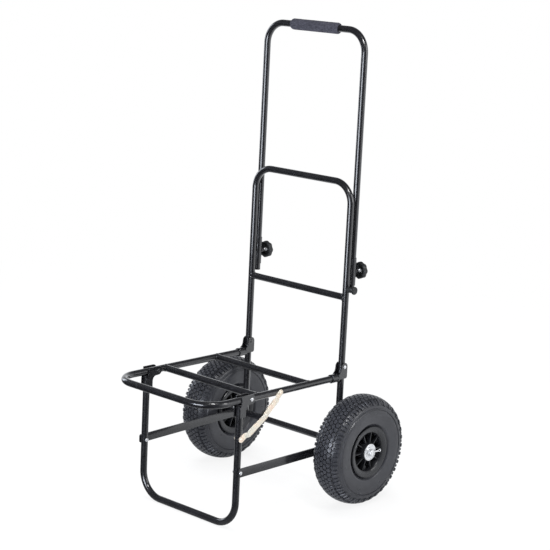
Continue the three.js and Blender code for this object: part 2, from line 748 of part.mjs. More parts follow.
function brace(parent) {
  const elbow = braceElbow();
  const foot = braceFootPlace();
  const head = braceHeadPlace();
  const upperLength = elbow.distanceTo(head);
  const lower = turnedGroup(parent, foot.x, foot.y, elbow.clone().sub(foot).angle());
  const upper = turnedGroup(parent, head.x, head.y, elbow.clone().sub(head).angle());
  piece(lower, 'brace_link_lower', braceLink(braceLowerLength, braceLowerPlace), 'passivated');
  piece(upper, 'brace_link_upper', braceLink(upperLength, braceUpperPlace), 'passivated');
  const pinEnd = braceLowerPlace + sheetThickness + seatGap;
  piece(lower, 'brace_joint_pin', rivet(braceLowerLength, 0, braceLowerPlace, pinEnd, false, true), 'zinc');
  piece(upper, 'brace_joint_disc', braceDisc().translate(0, upperLength, 0), 'plastic');
  const inner = frameSide - tubeRadius - seatGap;
  const outer = braceTabPlace + sheetThickness + seatGap;
  piece(parent, 'brace_foot_pin', rivet(foot.x, foot.y, inner, outer), 'zinc');
  piece(parent, 'brace_head_pin', rivet(head.x, head.y, inner, outer), 'zinc');
}

// The round plate behind the middle joint, with its stub in the upper link's hole.
function braceDisc() {
  const seat = braceUpperPlace - seatGap;
  const outline = [
    [seat - braceDiscThickness, 0],
    [seat - braceDiscThickness, braceDiscRadius],
    [seat, braceDiscRadius],
    [seat, rivetRadius],
    [braceUpperPlace + sheetThickness, rivetRadius],
    [braceUpperPlace + sheetThickness, 0],
  ];
  return turned(outline, roundSides);
}

// Handle: a long U-shaped tube that slides in the sleeves, with a foam grip
function handle(parent) {
  piece(parent, 'handle_tube', hoop(handleBack, handleLegEnd, handleHeight, handleBendRadius), 'frame');
  const half = gripLength / 2;
  const radius = gripDiameter / 2;
  const outline = [
    [-half, turnedBore],
    [-half, radius - gripChamfer],
    [gripChamfer - half, radius],
    [half - gripChamfer, radius],
    [half, radius - gripChamfer],
    [half, turnedBore],
    [-half, turnedBore],
  ];
  piece(parent, 'foam_grip', turned(outline, roundSides).translate(0, handleBack, handleHeight), 'foam');
  Object.entries(both).forEach(([side, sign]) => piece(parent, `handle_plug_${side}`, handlePlug(sign), 'plastic'));
}

// A plastic plug that closes the lower end of one handle leg.
function handlePlug(side) {
  const seat = point(side * frameSide, handleBack, handleLegEnd - seatGap);
  const cap = rod(tubeRadius, seat.clone().setZ(seat.z - plugCap), seat);
  const [low, high] = [-plugCap / 2, plugDepth].map((rise) => seat.clone().setZ(seat.z + rise));
  const stem = rod(tubeRadius - tubeWall - seatGap, low, high);
  return join(cap, stem);
}

// Clamp: a screw that presses on the handle's leg, with a lobed knob behind the sleeve
function clamp(parent, side, sign) {
  const group = new THREE.Group();
  group.position.set(sign * frameSide, handleBack, clampHeight);
  parent.add(group);
  const face = sleeveRadius + bossReach + knobStandoff;
  const back = face + knobThickness;
  const web = back - knobWebThickness;
  const screwEnd = back - knobWebThickness / 2;
  const start = point(0, face - cutOverrun, 0);
  const recess = rod(knobRadius - knobRingWidth, start, point(0, web, 0), roundSides);
  const socket = rod(studRadius + seatGap, start, point(0, screwEnd, 0), holeSides);
  const disc = solid(knobDisc().rotateX(Math.PI / 2).translate(0, back, 0));
  piece(group, `clamp_knob_${side}`, cut(disc, recess, socket), 'plastic');
  const shank = rod(studRadius, point(0, tubeRadius + seatGap, 0), point(0, screwEnd - seatGap, 0), holeSides);
  const nutEnd = web - seatGap;
  const nut = rod(nutRadius, point(0, nutEnd - nutThickness, 0), point(0, nutEnd, 0), nutSides);
  piece(group, `clamp_screw_${side}`, join(shank, nut), 'zinc');
}

// The knob's disc, with lobes round its edge.
function knobDisc() {
  const outline = Array.from({ length: knobLobes * 4 }, (_, index) => {
    const angle = (index * Math.PI) / (2 * knobLobes);
    const radius = knobRadius - (knobScallop * (1 - Math.cos(knobLobes * angle))) / 2;
    return new THREE.Vector2(radius * Math.cos(angle), radius * Math.sin(angle));
  });
  return new THREE.ExtrudeGeometry(new THREE.Shape(outline), { depth: knobThickness, bevelEnabled: false });
}

const trolley = new THREE.Group();
trolley.name = 'fishing_trolley';
const standing = new THREE.Group();
standing.position.set(0, middleShift, wheelRadius);
trolley.add(standing);
const leaning = new THREE.Group();
leaning.rotation.x = -leanAngle;
standing.add(leaning);

backFrame(leaning);
axleParts(leaning);
platform(leaning);
frontLeg(leaning);
brace(leaning);
handle(leaning);
Object.entries(both).forEach(([side, sign]) => {
  stay(leaning, side, sign);
  clamp(leaning, side, sign);
  wheel(standing, side, sign);
});

export default trolley;
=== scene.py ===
import math

import bmesh
import bpy
from mathutils import Matrix, Vector, noise


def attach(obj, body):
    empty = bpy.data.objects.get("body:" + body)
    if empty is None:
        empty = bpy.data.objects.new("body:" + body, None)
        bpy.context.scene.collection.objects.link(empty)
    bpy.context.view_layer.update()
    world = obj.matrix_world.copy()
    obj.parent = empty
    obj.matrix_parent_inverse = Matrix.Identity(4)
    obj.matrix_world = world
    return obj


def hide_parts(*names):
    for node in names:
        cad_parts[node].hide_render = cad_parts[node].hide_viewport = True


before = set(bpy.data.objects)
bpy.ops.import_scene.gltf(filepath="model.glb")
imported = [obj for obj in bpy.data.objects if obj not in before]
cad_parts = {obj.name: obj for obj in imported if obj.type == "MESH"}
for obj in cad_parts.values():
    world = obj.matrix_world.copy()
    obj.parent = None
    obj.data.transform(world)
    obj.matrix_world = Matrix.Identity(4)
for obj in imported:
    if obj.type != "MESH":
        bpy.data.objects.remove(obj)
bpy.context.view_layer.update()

# Sizes in millimetres, in the trolley's leaning frame: from the axle, back +, up +.
MM = 0.001
WHEEL_R = 130.0
LEAN = math.radians(2.4)
PLATFORM_Z = 159.5
PLATFORM_LENGTH = 435.5
TUBE_R = 8.0
TUBE_WALL = 1.2
GAP = 0.3
SIDE = 152.4
TRACK = 218.6
LEG_Y = -336.0
REACH = PLATFORM_LENGTH * math.cos(LEAN) - PLATFORM_Z * math.sin(LEAN) + TUBE_R
SHIFT = (REACH - WHEEL_R) / 2
FOOT_Z = (TUBE_R - WHEEL_R + LEG_Y * math.sin(LEAN)) / math.cos(LEAN)
SIDES = {"left": -1, "right": 1}

# The back frame, and the handle that slides in its sleeves.
FRAME_FOOT = 5.5
FRAME_TOP = 616.5
RAIL_Z = 349.2
PEG_Z = 370
TOP_BEND = 50
HANDLE_Y = 17.7
HANDLE_TOP = 963
HANDLE_END = 363.5
SLEEVE_LOW = 377.0
SLEEVE_HIGH = 442.0
SLEEVE_R = 9.4
CLAMP_Z = 409
BOSS_HEIGHT = 6.0

# The platform and the leg: their bends, the bars across, and the brackets' cheeks beside a tube.
PLATFORM_BEND = 57
LEG_BEND = 58
BARS = {"front": -279.0, "rear": -110.5}
CHEEK = 2.0
CHEEK_IN = TUBE_R + GAP
CHEEK_OUT = CHEEK_IN + CHEEK

# The stays: flat bars against the leg in front, and further out at the axle, with an eye round it.
STAY_IN = SIDE + TUBE_R + GAP
STAY_THICK = 4.0
STAY_HALF = 10.0
STAY_CORNER = 4.0
STAY_EYE = 14.0
STAY_NECK = 30.0
STAY_SPLAY = 7.0
STAY_DROP = 5.0
STAY_TURN = math.atan2(STAY_DROP, -LEG_Y)
STAY_REACH = math.hypot(STAY_DROP, LEG_Y)

# From millimetres at the axle to the scene: standing upright for the wheels, leaning for the rest.
AT_AXLE = Matrix.Translation((0, SHIFT * MM, WHEEL_R * MM))
UPRIGHT = AT_AXLE @ Matrix.Scale(MM, 4)
LEANING = AT_AXLE @ Matrix.Rotation(-LEAN, 4, "X") @ Matrix.Scale(MM, 4)
UP = Vector((0, 0, 1))
ACROSS = Vector((1, 0, 0))
BACK = Vector((0, 1, 0))


# Materials

def node(tree, kind, values=None, **attributes):
    made = tree.nodes.new(kind)
    for key, value in attributes.items():
        setattr(made, key, value)
    for key, value in (values or {}).items():
        made.inputs[key].default_value = value
    return made


def rgba(colour):
    return (*colour, 1.0)


def remap(tree, source, start, end):
    """Turns the range from start to end of a value into another range. Each is a pair."""
    values = {"From Min": start[0], "From Max": start[1], "To Min": end[0], "To Max": end[1]}
    made = node(tree, "ShaderNodeMapRange", values)
    tree.links.new(source, made.inputs["Value"])
    return made.outputs["Result"]


def mix(tree, share, first, second):
    """Two shaders mixed: the first where the share is 0, and the second where it is 1."""
    made = node(tree, "ShaderNodeMixShader")
    tree.links.new(share, made.inputs["Fac"])
    tree.links.new(first, made.inputs[1])
    tree.links.new(second, made.inputs[2])
    return made.outputs["Shader"]


class Look:
    """A principled material whose colour, roughness and bump come from object-space noise."""

    def __init__(self, name, roughness, metallic=0.0, specular=0.5, coat=0.0, coat_roughness=0.1):
        self.material = bpy.data.materials.new(name)
        self.material.use_nodes = True
        self.tree = self.material.node_tree
        self.shader = self.tree.nodes["Principled BSDF"]
        self.shader.inputs["Roughness"].default_value = roughness
        self.shader.inputs["Metallic"].default_value = metallic
        self.shader.inputs["Specular IOR Level"].default_value = specular
        self.shader.inputs["Coat Weight"].default_value = coat
        self.shader.inputs["Coat Roughness"].default_value = coat_roughness
        self.place = node(self.tree, "ShaderNodeTexCoord")
        self.last_bump = None

    def link(self, start, end):
        self.tree.links.new(start, end)

    def noise(self, scale, detail, stretch=None):
        values = {"Scale": scale, "Detail": detail, "Roughness": 0.55}
        made = node(self.tree, "ShaderNodeTexNoise", values)
        source = self.place.outputs["Object"]
        if stretch:
            mapping = node(self.tree, "ShaderNodeMapping", {"Scale": stretch})
            self.link(source, mapping.inputs["Vector"])
            source = mapping.outputs["Vector"]
        self.link(source, made.inputs["Vector"])
        return made.outputs["Fac"]

    def cells(self, scale):
        made = node(self.tree, "ShaderNodeTexVoronoi", {"Scale": scale})
        self.link(self.place.outputs["Object"], made.inputs["Vector"])
        return made.outputs["Distance"]

    def ramp(self, source, stops):
        made = node(self.tree, "ShaderNodeValToRGB")
        for extra in range(len(stops) - 2):
            made.color_ramp.elements.new(0.5)
        for element, (place, colour) in zip(made.color_ramp.elements, stops):
            element.position = place
            element.color = rgba(colour)
        self.link(source, made.inputs["Fac"])
        return made.outputs["Color"]

    def colour(self, source, stops):
        self.link(self.ramp(source, stops), self.shader.inputs["Base Color"])
        return self

    def rough(self, source, low, high):
        value = remap(self.tree, source, (0.3, 0.7), (low, high))
        self.link(value, self.shader.inputs["Roughness"])
        return self

    def bump(self, source, strength, depth):
        made = node(self.tree, "ShaderNodeBump", {"Strength": strength, "Distance": depth * MM})
        self.link(source, made.inputs["Height"])
        if self.last_bump is not None:
            self.link(self.last_bump.outputs["Normal"], made.inputs["Normal"])
        self.last_bump = made
        self.link(made.outputs["Normal"], self.shader.inputs["Normal"])
        return self


def powder_coat():
    look = Look("gloss_black_powder_coat", 0.3, specular=0.5, coat=1.0, coat_roughness=0.08)
    wear = look.noise(38, 4)
    look.colour(wear, [(0.3, (0.006, 0.006, 0.0075)), (0.7, (0.011, 0.011, 0.0135))])
    look.rough(look.noise(95, 3), 0.24, 0.36)
    return look.bump(look.noise(420, 2), 0.07, 0.25).material


def foam():
    look = Look("charcoal_foam", 0.92, specular=0.25)
    look.colour(look.noise(160, 5), [(0.3, (0.034, 0.034, 0.045)), (0.7, (0.07, 0.07, 0.09))])
    look.bump(look.cells(1100), 0.5, 0.35)
    return look.bump(look.noise(420, 4), 0.35, 0.4).material


def black_plastic():
    look = Look("black_moulded_plastic", 0.42, specular=0.45)
    look.colour(look.noise(60, 3), [(0.3, (0.011, 0.012, 0.0125)), (0.7, (0.02, 0.021, 0.022))])
    look.rough(look.noise(140, 3), 0.36, 0.52)
    return look.bump(look.noise(700, 2), 0.2, 0.15).material


def rim_plastic():
    look = Look("satin_rim_plastic", 0.3, specular=0.55)
    look.colour(look.noise(40, 4), [(0.3, (0.012, 0.0125, 0.0145)), (0.7, (0.019, 0.0195, 0.023))])
    look.rough(look.noise(70, 3), 0.24, 0.36)
    return look.bump(look.noise(300, 3), 0.15, 0.2).material


def rubber():
    look = Look("tyre_rubber", 0.5, specular=0.5)
    look.colour(look.noise(26, 5), [(0.28, (0.025, 0.026, 0.031)), (0.72, (0.041, 0.042, 0.049))])
    look.rough(look.noise(55, 4), 0.26, 0.4)
    return look.bump(look.noise(520, 4), 0.25, 0.3).material


def bright_zinc():
    look = Look("bright_zinc", 0.34, metallic=0.75)
    look.colour(look.noise(120, 4), [(0.3, (0.74, 0.75, 0.77)), (0.7, (0.93, 0.935, 0.94))])
    look.rough(look.noise(240, 4), 0.24, 0.46)
    return look.bump(look.noise(600, 3), 0.2, 0.12).material


def yellow_zinc():
    look = Look("yellow_passivated_zinc", 0.42, metallic=0.35)
    tint = look.noise(24, 4, stretch=(1.0, 2.2, 2.2))
    stops = [(0.28, (0.88, 0.66, 0.54)), (0.45, (0.88, 0.76, 0.62)), (0.6, (0.76, 0.74, 0.64)),
             (0.76, (0.88, 0.72, 0.62))]
    look.colour(tint, stops)
    look.rough(look.noise(200, 4), 0.3, 0.5)
    return look.bump(look.noise(380, 3), 0.2, 0.15).material


def bare_steel():
    look = Look("turned_steel", 0.34, metallic=1.0)
    look.colour(look.noise(90, 4), [(0.3, (0.36, 0.37, 0.39)), (0.7, (0.56, 0.57, 0.59))])
    look.rough(look.noise(260, 3, stretch=(4.0, 0.5, 0.5)), 0.26, 0.46)
    return look.bump(look.noise(500, 2), 0.15, 0.1).material


LOOKS = {
    "black_powder_coat": powder_coat(),
    "foam": foam(),
    "black_plastic": black_plastic(),
    "rim_plastic": rim_plastic(),
    "tyre_rubber": rubber(),
    "bright_zinc": bright_zinc(),
    "yellow_zinc": yellow_zinc(),
    "bare_steel": bare_steel(),
}


# Mesh builders. Each adds closed shapes to a bmesh, in millimetres.

def vec(x, y, z):
    return Vector((x, y, z))


def bent_path(corners, bend_radius):
    """Points and directions along straight stretches with round corners."""
    path = []
    steps = 14
    for index, here in enumerate(corners):
        before = (here - corners[index - 1]).normalized() if index else None
        after = (corners[index + 1] - here).normalized() if index < len(corners) - 1 else None
        if before is None or after is None:
            path.append((here, before or after))
            continue
        turning = before.angle(after)
        pivot = before.cross(after).normalized()
        start = here - before * bend_radius * math.tan(turning / 2)
        spoke = before.cross(pivot) * bend_radius
        for step in range(steps + 1):
            turn = Matrix.Rotation(turning * step / steps, 3, pivot)
            path.append((start - spoke + turn @ spoke, turn @ before))
    return path


def bridge(bm, first, second):
    """A band of faces between two rings."""
    count = len(first)
    for index in range(count):
        following = (index + 1) % count
        bm.faces.new((first[index], first[following], second[following], second[index]))


def loft(bm, rings):
    """A closed skin through a row of rings."""
    for first, second in zip(rings, rings[1:]):
        bridge(bm, first, second)
    bm.faces.new(rings[0])
    bm.faces.new(rings[-1])


def circle(bm, centre, u, v, radius, sides):
    ring = []
    for side in range(sides):
        angle = 2 * math.pi * side / sides
        ring.append(bm.verts.new(centre + radius * (math.cos(angle) * u + math.sin(angle) * v)))
    return ring


def add_tube(bm, path, normal, radius=TUBE_R, wall=TUBE_WALL):
    """A tube along a flat path. Each end is open, with a rounded rim, and closed further in."""
    rings = []
    sides, lip, depth = 40, 0.35, 14.0

    def ring(place, way, size):
        rings.append(circle(bm, place, normal, way.cross(normal), size, sides))

    (start, start_way), (end, end_way) = path[0], path[-1]
    inner = radius - wall
    ring(start + start_way * depth, start_way, inner)
    ring(start + start_way * lip, start_way, inner)
    ring(start, start_way, inner + lip)
    ring(start, start_way, radius - lip)
    ring(start + start_way * lip, start_way, radius)
    for place, way in path[1:-1]:
        ring(place, way, radius)
    ring(end - end_way * lip, end_way, radius)
    ring(end, end_way, radius - lip)
    ring(end, end_way, inner + lip)
    ring(end - end_way * lip, end_way, inner)
    ring(end - end_way * depth, end_way, inner)
    loft(bm, rings)


def add_wire(bm, path, radius, sides, closed=False):
    """A round wire along a list of points, with flat ends, or closed to a loop."""
    count = len(path)
    rings = []
    side_way = None
    for index, place in enumerate(path):
        ahead = path[(index + 1) % count] if closed or index < count - 1 else place
        behind = path[index - 1] if closed or index else place
        way = (ahead - behind).normalized()
        if side_way is None:
            side_way = way.orthogonal().normalized()
        side_way = (side_way - way * side_way.dot(way)).normalized()
        rings.append(circle(bm, place, side_way, way.cross(side_way), radius, sides))
    if not closed:
        loft(bm, rings)
        return
    for first, second in zip(rings, rings[1:]):
        bridge(bm, first, second)
    stitch_closed(bm, rings[-1], rings[0])


def stitch_closed(bm, first, second):
    """Joins the last ring of a loop to its first, turned to where they meet best."""
    count = len(first)
    offset = min(range(count), key=lambda turn: (first[0].co - second[turn].co).length)
    bridge(bm, first, [second[(index + offset) % count] for index in range(count)])


AXES = {
    "x": lambda along, u, v: Vector((along, u, v)),
    "y": lambda along, u, v: Vector((v, along, u)),
    "z": lambda along, u, v: Vector((u, v, along)),
}


def add_lathe(bm, profile, sides, centre=(0, 0, 0), axis="x"):
    """A round body. The profile is a list of (place along the axis, radius)."""
    centre = Vector(centre)
    to_space = AXES[axis]
    rings = []
    for along, radius in profile:
        if radius < 1e-6:
            rings.append([bm.verts.new(centre + to_space(along, 0, 0))])
            continue
        ring = []
        for side in range(sides):
            angle = 2 * math.pi * side / sides
            place = to_space(along, radius * math.cos(angle), radius * math.sin(angle))
            ring.append(bm.verts.new(centre + place))
        rings.append(ring)
    pairs = list(zip(rings, rings[1:]))
    if profile[0][1] > 0 and profile[-1][1] > 0:
        pairs.append((rings[-1], rings[0]))
    for first, second in pairs:
        if len(first) == len(second) == 1:
            continue
        if len(first) == 1 or len(second) == 1:
            tip, ring = (first[0], second) if len(first) == 1 else (second[0], first)
            for index in range(len(ring)):
                bm.faces.new((tip, ring[index], ring[(index + 1) % len(ring)]))
        else:
            bridge(bm, first, second)


def add_prism(bm, outline, low, high, axis="x"):
    """A flat plate between two places along an axis. Its outline has the other two coordinates."""
    to_space = AXES[axis]
    loft(bm, [[bm.verts.new(to_space(along, u, v)) for u, v in outline] for along in (low, high)])


def arc(cy, cz, radius, start, end, steps):
    """Points on a round corner, between two angles in degrees."""
    angles = [math.radians(start + (end - start) * step / steps) for step in range(steps + 1)]
    return [(cy + radius * math.cos(a), cz + radius * math.sin(a)) for a in angles]


def curve_to(start, control, end, steps):
    """Points after start on a curve that is pulled towards the control point."""
    points = []
    for step in range(1, steps + 1):
        t = step / steps
        shares = zip(((1 - t) ** 2, 2 * t * (1 - t), t * t), (start, control, end))
        parts = [(share * y, share * z) for share, (y, z) in shares]
        points.append(tuple(sum(part) for part in zip(*parts)))
    return points


def make(name, bm, slot, body, nodes, matrix=LEANING, crease=38, bevel=0.0):
    """Turns a bmesh into a finished piece that rides on a body and stands for CAD nodes."""
    bmesh.ops.remove_doubles(bm, verts=bm.verts, dist=1e-3)
    bmesh.ops.recalc_face_normals(bm, faces=bm.faces)
    bm.transform(matrix)
    mesh = bpy.data.meshes.new(name)
    bm.to_mesh(mesh)
    bm.free()
    mesh.materials.append(LOOKS[slot])
    mesh.polygons.foreach_set("use_smooth", [True] * len(mesh.polygons))
    mesh.set_sharp_from_angle(angle=math.radians(crease))
    piece = bpy.data.objects.new(name, mesh)
    bpy.context.scene.collection.objects.link(piece)
    if bevel:
        edge = piece.modifiers.new("edges", "BEVEL")
        edge.width = bevel * MM
        edge.segments = 2
        edge.limit_method = "ANGLE"
        edge.angle_limit = math.radians(crease)
    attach(piece, body)
    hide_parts(*nodes)
    return piece


def both_sides(build):
    """Builds a piece on the left and on the right. The sign is that of the side's x."""
    for side, sign in SIDES.items():
        build(side, sign)


# Small fasteners and welds

# Which ends of a rivet have a head: where it starts, where it stops, or both.
START, STOP, BOTH = (True, False), (False, True), (True, True)


def rivet_profile(from_x, to_x, heads):
    """A shank with a domed head at each end that has one."""
    radius, head, height = 3.0, 4.6, 1.6
    dome = [(1.0, 0.0), (0.97, 0.3), (0.86, 0.58), (0.62, 0.82), (0.3, 0.96), (0.0, 1.0)]
    sign = 1 if to_x > from_x else -1
    first = [(from_x - sign * height * up, head * out) for up, out in dome]
    last = [(to_x + sign * height * up, head * out) for up, out in reversed(dome)]
    profile = (first if heads[0] else [(from_x, 0.0)]) + [(from_x, radius), (to_x, radius)]
    return profile + (last if heads[1] else [(to_x, 0.0)])


def rivet(name, y, z, from_x, to_x, heads, body, look="bright_zinc", matrix=LEANING):
    """A rivet or pin across the trolley, at a place y, z of the given frame."""
    bm = bmesh.new()
    add_lathe(bm, rivet_profile(from_x, to_x, heads), centre=(0, y, z), sides=36)
    make(name + "_zinc", bm, look, body, [name], matrix=matrix, crease=50)


def hinge_rivet(name, y, z, sign, body):
    """A rivet through a bracket. Its inner head is black like the frame, and its outer head bare
    zinc.
    """
    past_cheek = CHEEK_OUT + GAP
    inner, outer = sign * (SIDE - past_cheek), sign * (SIDE + past_cheek)
    rivet(name, y, z, sign * SIDE, outer, STOP, body)
    bm = bmesh.new()
    add_lathe(bm, rivet_profile(inner, sign * SIDE, START), centre=(0, y, z), sides=36)
    make(name + "_black_head", bm, "black_powder_coat", body, [name], crease=50)


def saddle_weld(bm, y, z, sign, along_y, seed):
    """A weld bead where a cross tube meets a side tube of the same size."""
    path = []
    steps = 56
    for step in range(steps):
        angle = 2 * math.pi * step / steps
        u, v = math.cos(angle), math.sin(angle)
        flat = v if along_y else u
        wobble = 0.45 * noise.noise(Vector((seed, 3 * u, 3 * v)))
        reach = SIDE - math.sqrt(max(0.0, TUBE_R ** 2 - (TUBE_R * flat) ** 2)) - 0.9 + wobble
        out = TUBE_R + 0.25
        path.append(vec(sign * min(reach, SIDE - 1.0), y + out * u, z + out * v))
    add_wire(bm, path, 1.25, sides=10, closed=True)


def bead(bm, start, end, seed):
    """A straight weld bead with the ripples of its stitches."""
    path = []
    steps = 26
    for step in range(steps + 1):
        place = start.lerp(end, step / steps)
        path.append(place + Vector((0.25, 0.25, 0.0)) * noise.noise(Vector((seed, step * 0.7, 0))))
    add_wire(bm, path, 1.15, sides=10)


# Back frame

def hoop(y, end_z, middle_z, bend_radius):
    """The path of a U in the plane at y, with its ends at one height and its middle at another."""
    places = ((-SIDE, end_z), (-SIDE, middle_z), (SIDE, middle_z), (SIDE, end_z))
    return bent_path([vec(x, y, z) for x, z in places], bend_radius)


def cross_tube(bm, y, z, along_y, seed):
    """A tube from side to side with its welds, onto side tubes that run along y or along z."""
    end = SIDE - TUBE_R * 0.4
    add_tube(bm, [(vec(-end, y, z), ACROSS), (vec(end, y, z), ACROSS)], BACK)
    for sign in SIDES.values():
        saddle_weld(bm, y, z, sign, along_y, seed + sign)


def back_frame():
    bm = bmesh.new()
    add_tube(bm, hoop(0, FRAME_FOOT, FRAME_TOP, TOP_BEND), BACK)
    for sign in SIDES.values():
        foot_weld(bm, sign)
    make("back_frame_hoop", bm, "black_powder_coat", "back_frame", ["back_frame_tube"])
    bm = bmesh.new()
    cross_tube(bm, 0, RAIL_Z, False, 3.1)
    make("back_rail", bm, "black_powder_coat", "back_frame", ["back_cross_rail"])
    both_sides(sleeve)
    side_peg()


def foot_weld(bm, sign):
    """The bead round the foot of an upright, where it sits on the axle."""
    path = []
    steps = 48
    around = TUBE_R + 0.2
    for step in range(steps):
        angle = 2 * math.pi * step / steps
        u, v = math.cos(angle), math.sin(angle)
        rise = math.sqrt(max(0.0, TUBE_R ** 2 - (TUBE_R * v) ** 2)) + 0.9
        lift = rise + 0.3 * noise.noise(Vector((sign, 3 * u, 3 * v)))
        path.append(vec(sign * SIDE + around * u, around * v, max(lift, 1.5)))
    add_wire(bm, path, 1.1, sides=10, closed=True)


def sleeve(side, sign):
    """A sleeve for the handle, with the clamp's boss, and stitches of weld to the upright."""
    bm = bmesh.new()
    x = sign * SIDE
    low, high, outer, bore, edge = SLEEVE_LOW, SLEEVE_HIGH, SLEEVE_R, TUBE_R + GAP, 0.3
    profile = [(low, bore + edge), (low, outer - edge), (low + edge, outer), (high - edge, outer),
               (high, outer - edge), (high, bore + edge), (high - edge, bore), (low + edge, bore)]
    add_lathe(bm, profile, centre=(x, HANDLE_Y, 0), axis="z", sides=48)
    boss, tip = HANDLE_Y + outer, HANDLE_Y + outer + BOSS_HEIGHT
    profile = [(boss - 1.5, 3.4), (boss - 1.5, 6.5), (tip - 0.5, 6.5), (tip, 6.0), (tip, 3.4)]
    add_lathe(bm, profile, centre=(x, 0, CLAMP_Z), axis="y", sides=36)
    stitch = 13
    for way in (-1, 1):
        for start in (380, 404, 427):
            place = vec(x + way * 5.6, 8.6, start)
            bead(bm, place, place + UP * stitch, way + start)
    make(f"sleeve_{side}", bm, "black_powder_coat", "back_frame", [f"handle_sleeve_{side}"])


def side_peg():
    """A short peg with a round, slightly domed head."""
    bm = bmesh.new()
    seat = SIDE + TUBE_R
    end = seat + 21.0
    profile = [(seat - 0.5, 0), (seat - 0.5, 7.6), (seat + 0.9, 7.4), (seat + 2.4, 7.0),
               (end - 5.6, 7.0), (end - 5.0, 7.6), (end - 4.7, 8.8), (end - 4.2, 9.3),
               (end - 2.0, 9.3), (end - 1.1, 8.8), (end - 0.4, 7.0), (end - 0.1, 4.0), (end, 0)]
    add_lathe(bm, profile, centre=(0, 0, PEG_Z), sides=48)
    make("round_side_peg", bm, "black_plastic", "back_frame", ["side_peg"], crease=60)


# Axle, washers, spacers and split pins

AXLE_R = 7.95
HUB_END = 34.0
PAINT_END = TRACK - HUB_END - 6.0
WASHER_IN = TRACK + HUB_END + GAP
WASHER_OUT = WASHER_IN + 1.6
AXLE_END = WASHER_OUT + 7.0
PIN_WIRE = 1.05


def axle_parts():
    """The axle, painted between the wheels, and what sits on it at each side."""
    bm = bmesh.new()
    profile = [(-PAINT_END, 0), (-PAINT_END, AXLE_R), (PAINT_END, AXLE_R), (PAINT_END, 0)]
    add_lathe(bm, profile, sides=48)
    make("axle_tube", bm, "black_powder_coat", "back_frame", ["axle"])
    for side, sign in SIDES.items():
        axle_end(side, sign)
        spacers(side, sign)
        washer(side, sign)
        split_pin(side, sign)


def add_turned(bm, profile, sign, sides):
    """A round body on the axle, with its profile given for the right side."""
    add_lathe(bm, [(sign * along, radius) for along, radius in profile], sides=sides)


def axle_end(side, sign):
    """The bare end of the axle, with a shallow dish in its face."""
    bm = bmesh.new()
    profile = [(PAINT_END, 0), (PAINT_END, 7.9), (AXLE_END - 1.2, 7.9), (AXLE_END - 0.3, 7.4),
               (AXLE_END, 6.6), (AXLE_END, 5.4), (AXLE_END - 0.8, 4.6), (AXLE_END - 1.0, 0)]
    add_turned(bm, profile, sign, 48)
    make(f"axle_end_{side}", bm, "bright_zinc", "back_frame", ["axle"])


def spacers(side, sign):
    """The plain rings either side of the stay's eye."""
    eye_in = STAY_IN + STAY_SPLAY
    eye_out = eye_in + STAY_THICK
    places = {"inner": (STAY_IN, eye_in - GAP), "outer": (eye_out + GAP, TRACK - HUB_END - GAP)}
    outer, bore, edge = 12.0, 8.2, 0.35
    for which, (low, high) in places.items():
        bm = bmesh.new()
        profile = [(low, bore), (low, outer - edge), (low + edge, outer), (high - edge, outer),
                   (high, outer - edge), (high, bore)]
        add_turned(bm, profile, sign, 48)
        nodes = [f"axle_spacer_{which}_{side}"]
        make(f"spacer_{which}_{side}", bm, "bright_zinc", "back_frame", nodes)


def washer(side, sign):
    """The pressed hub washer, with a ridge near its edge and a collar at the axle."""
    bm = bmesh.new()
    face = WASHER_OUT
    profile = [(WASHER_IN, 8.2), (WASHER_IN, 19.4), (WASHER_IN + 0.5, 19.7), (face, 19.7),
               (face + 0.35, 19.1), (face + 0.35, 17.6), (face - 0.35, 16.9), (face - 0.35, 13.6),
               (face + 1.0, 12.8), (face + 1.45, 12.0), (face + 1.45, 9.4), (face + 0.9, 8.6)]
    add_turned(bm, profile, sign, 72)
    make(f"washer_{side}", bm, "bright_zinc", "back_frame", [f"hub_washer_{side}"], crease=30)


def split_pin(side, sign):
    """Two legs side by side through the axle, an eye at one end and a bent tip at the other."""
    bm = bmesh.new()
    collar, clear = 1.5, 1.6
    x = sign * (WASHER_OUT + collar + GAP + clear)
    angles = [math.radians(202 + 316 * step / 22) for step in range(1, 22)]
    eye = [vec(x, 30.0 + 3.6 * math.cos(angle), 2.7 * math.sin(angle)) for angle in angles]
    leg = [vec(x, -13 + 2 * step, -0.75) for step in range(19)] + [vec(x, 26.4, -1.0)]
    other_leg = [vec(x, 26.4, 1.0)] + [vec(x, 26.5 - 2 * step, 0.75) for step in range(1, 20)]
    add_wire(bm, leg + eye + other_leg, PIN_WIRE, sides=12)
    add_wire(bm, [vec(x, -12.4, -0.75), vec(x, -14.2, -2.2), vec(x, -15.0, -4.2)], 0.95, sides=12)
    make(f"cotter_{side}", bm, "bright_zinc", "back_frame", [f"split_pin_{side}"], crease=60)


# Wheels

# Lugs in a row, blocks in a column, from column to column, and the radius at which lengths are true.
LUGS = 36
BLOCKS = 66
COLUMN = 9.0
TREAD_R = 128.0
RIBS = 10


def tyre_profile():
    """The carcass: bead, sidewall with its rib, shoulder, crown, and the hollow inside."""
    half = [(29.1, 51.3), (29.2, 58.0), (29.6, 61.4), (31.2, 64.4), (34.0, 66.6), (35.5, 68.2),
            (36.0, 70.6), (36.4, 75.0), (37.4, 83.0), (38.2, 90.0), (38.5, 97.0), (38.2, 100.4),
            (37.3, 101.6), (38.9, 102.4), (38.9, 104.4), (37.4, 105.4), (37.0, 108.0),
            (35.9, 110.8), (34.2, 113.4), (31.6, 116.0), (28.0, 118.6), (21.0, 121.8),
            (11.0, 125.0), (0.0, 126.2)]
    inside = [(24.0, 51.3), (24.4, 68.0), (33.0, 88.0), (25.0, 112.0), (0.0, 123.0)]
    outer = half + [(-x, r) for x, r in reversed(half[:-1])]
    return outer + [(-x, r) for x, r in inside] + [(x, r) for x, r in reversed(inside[:-1])]


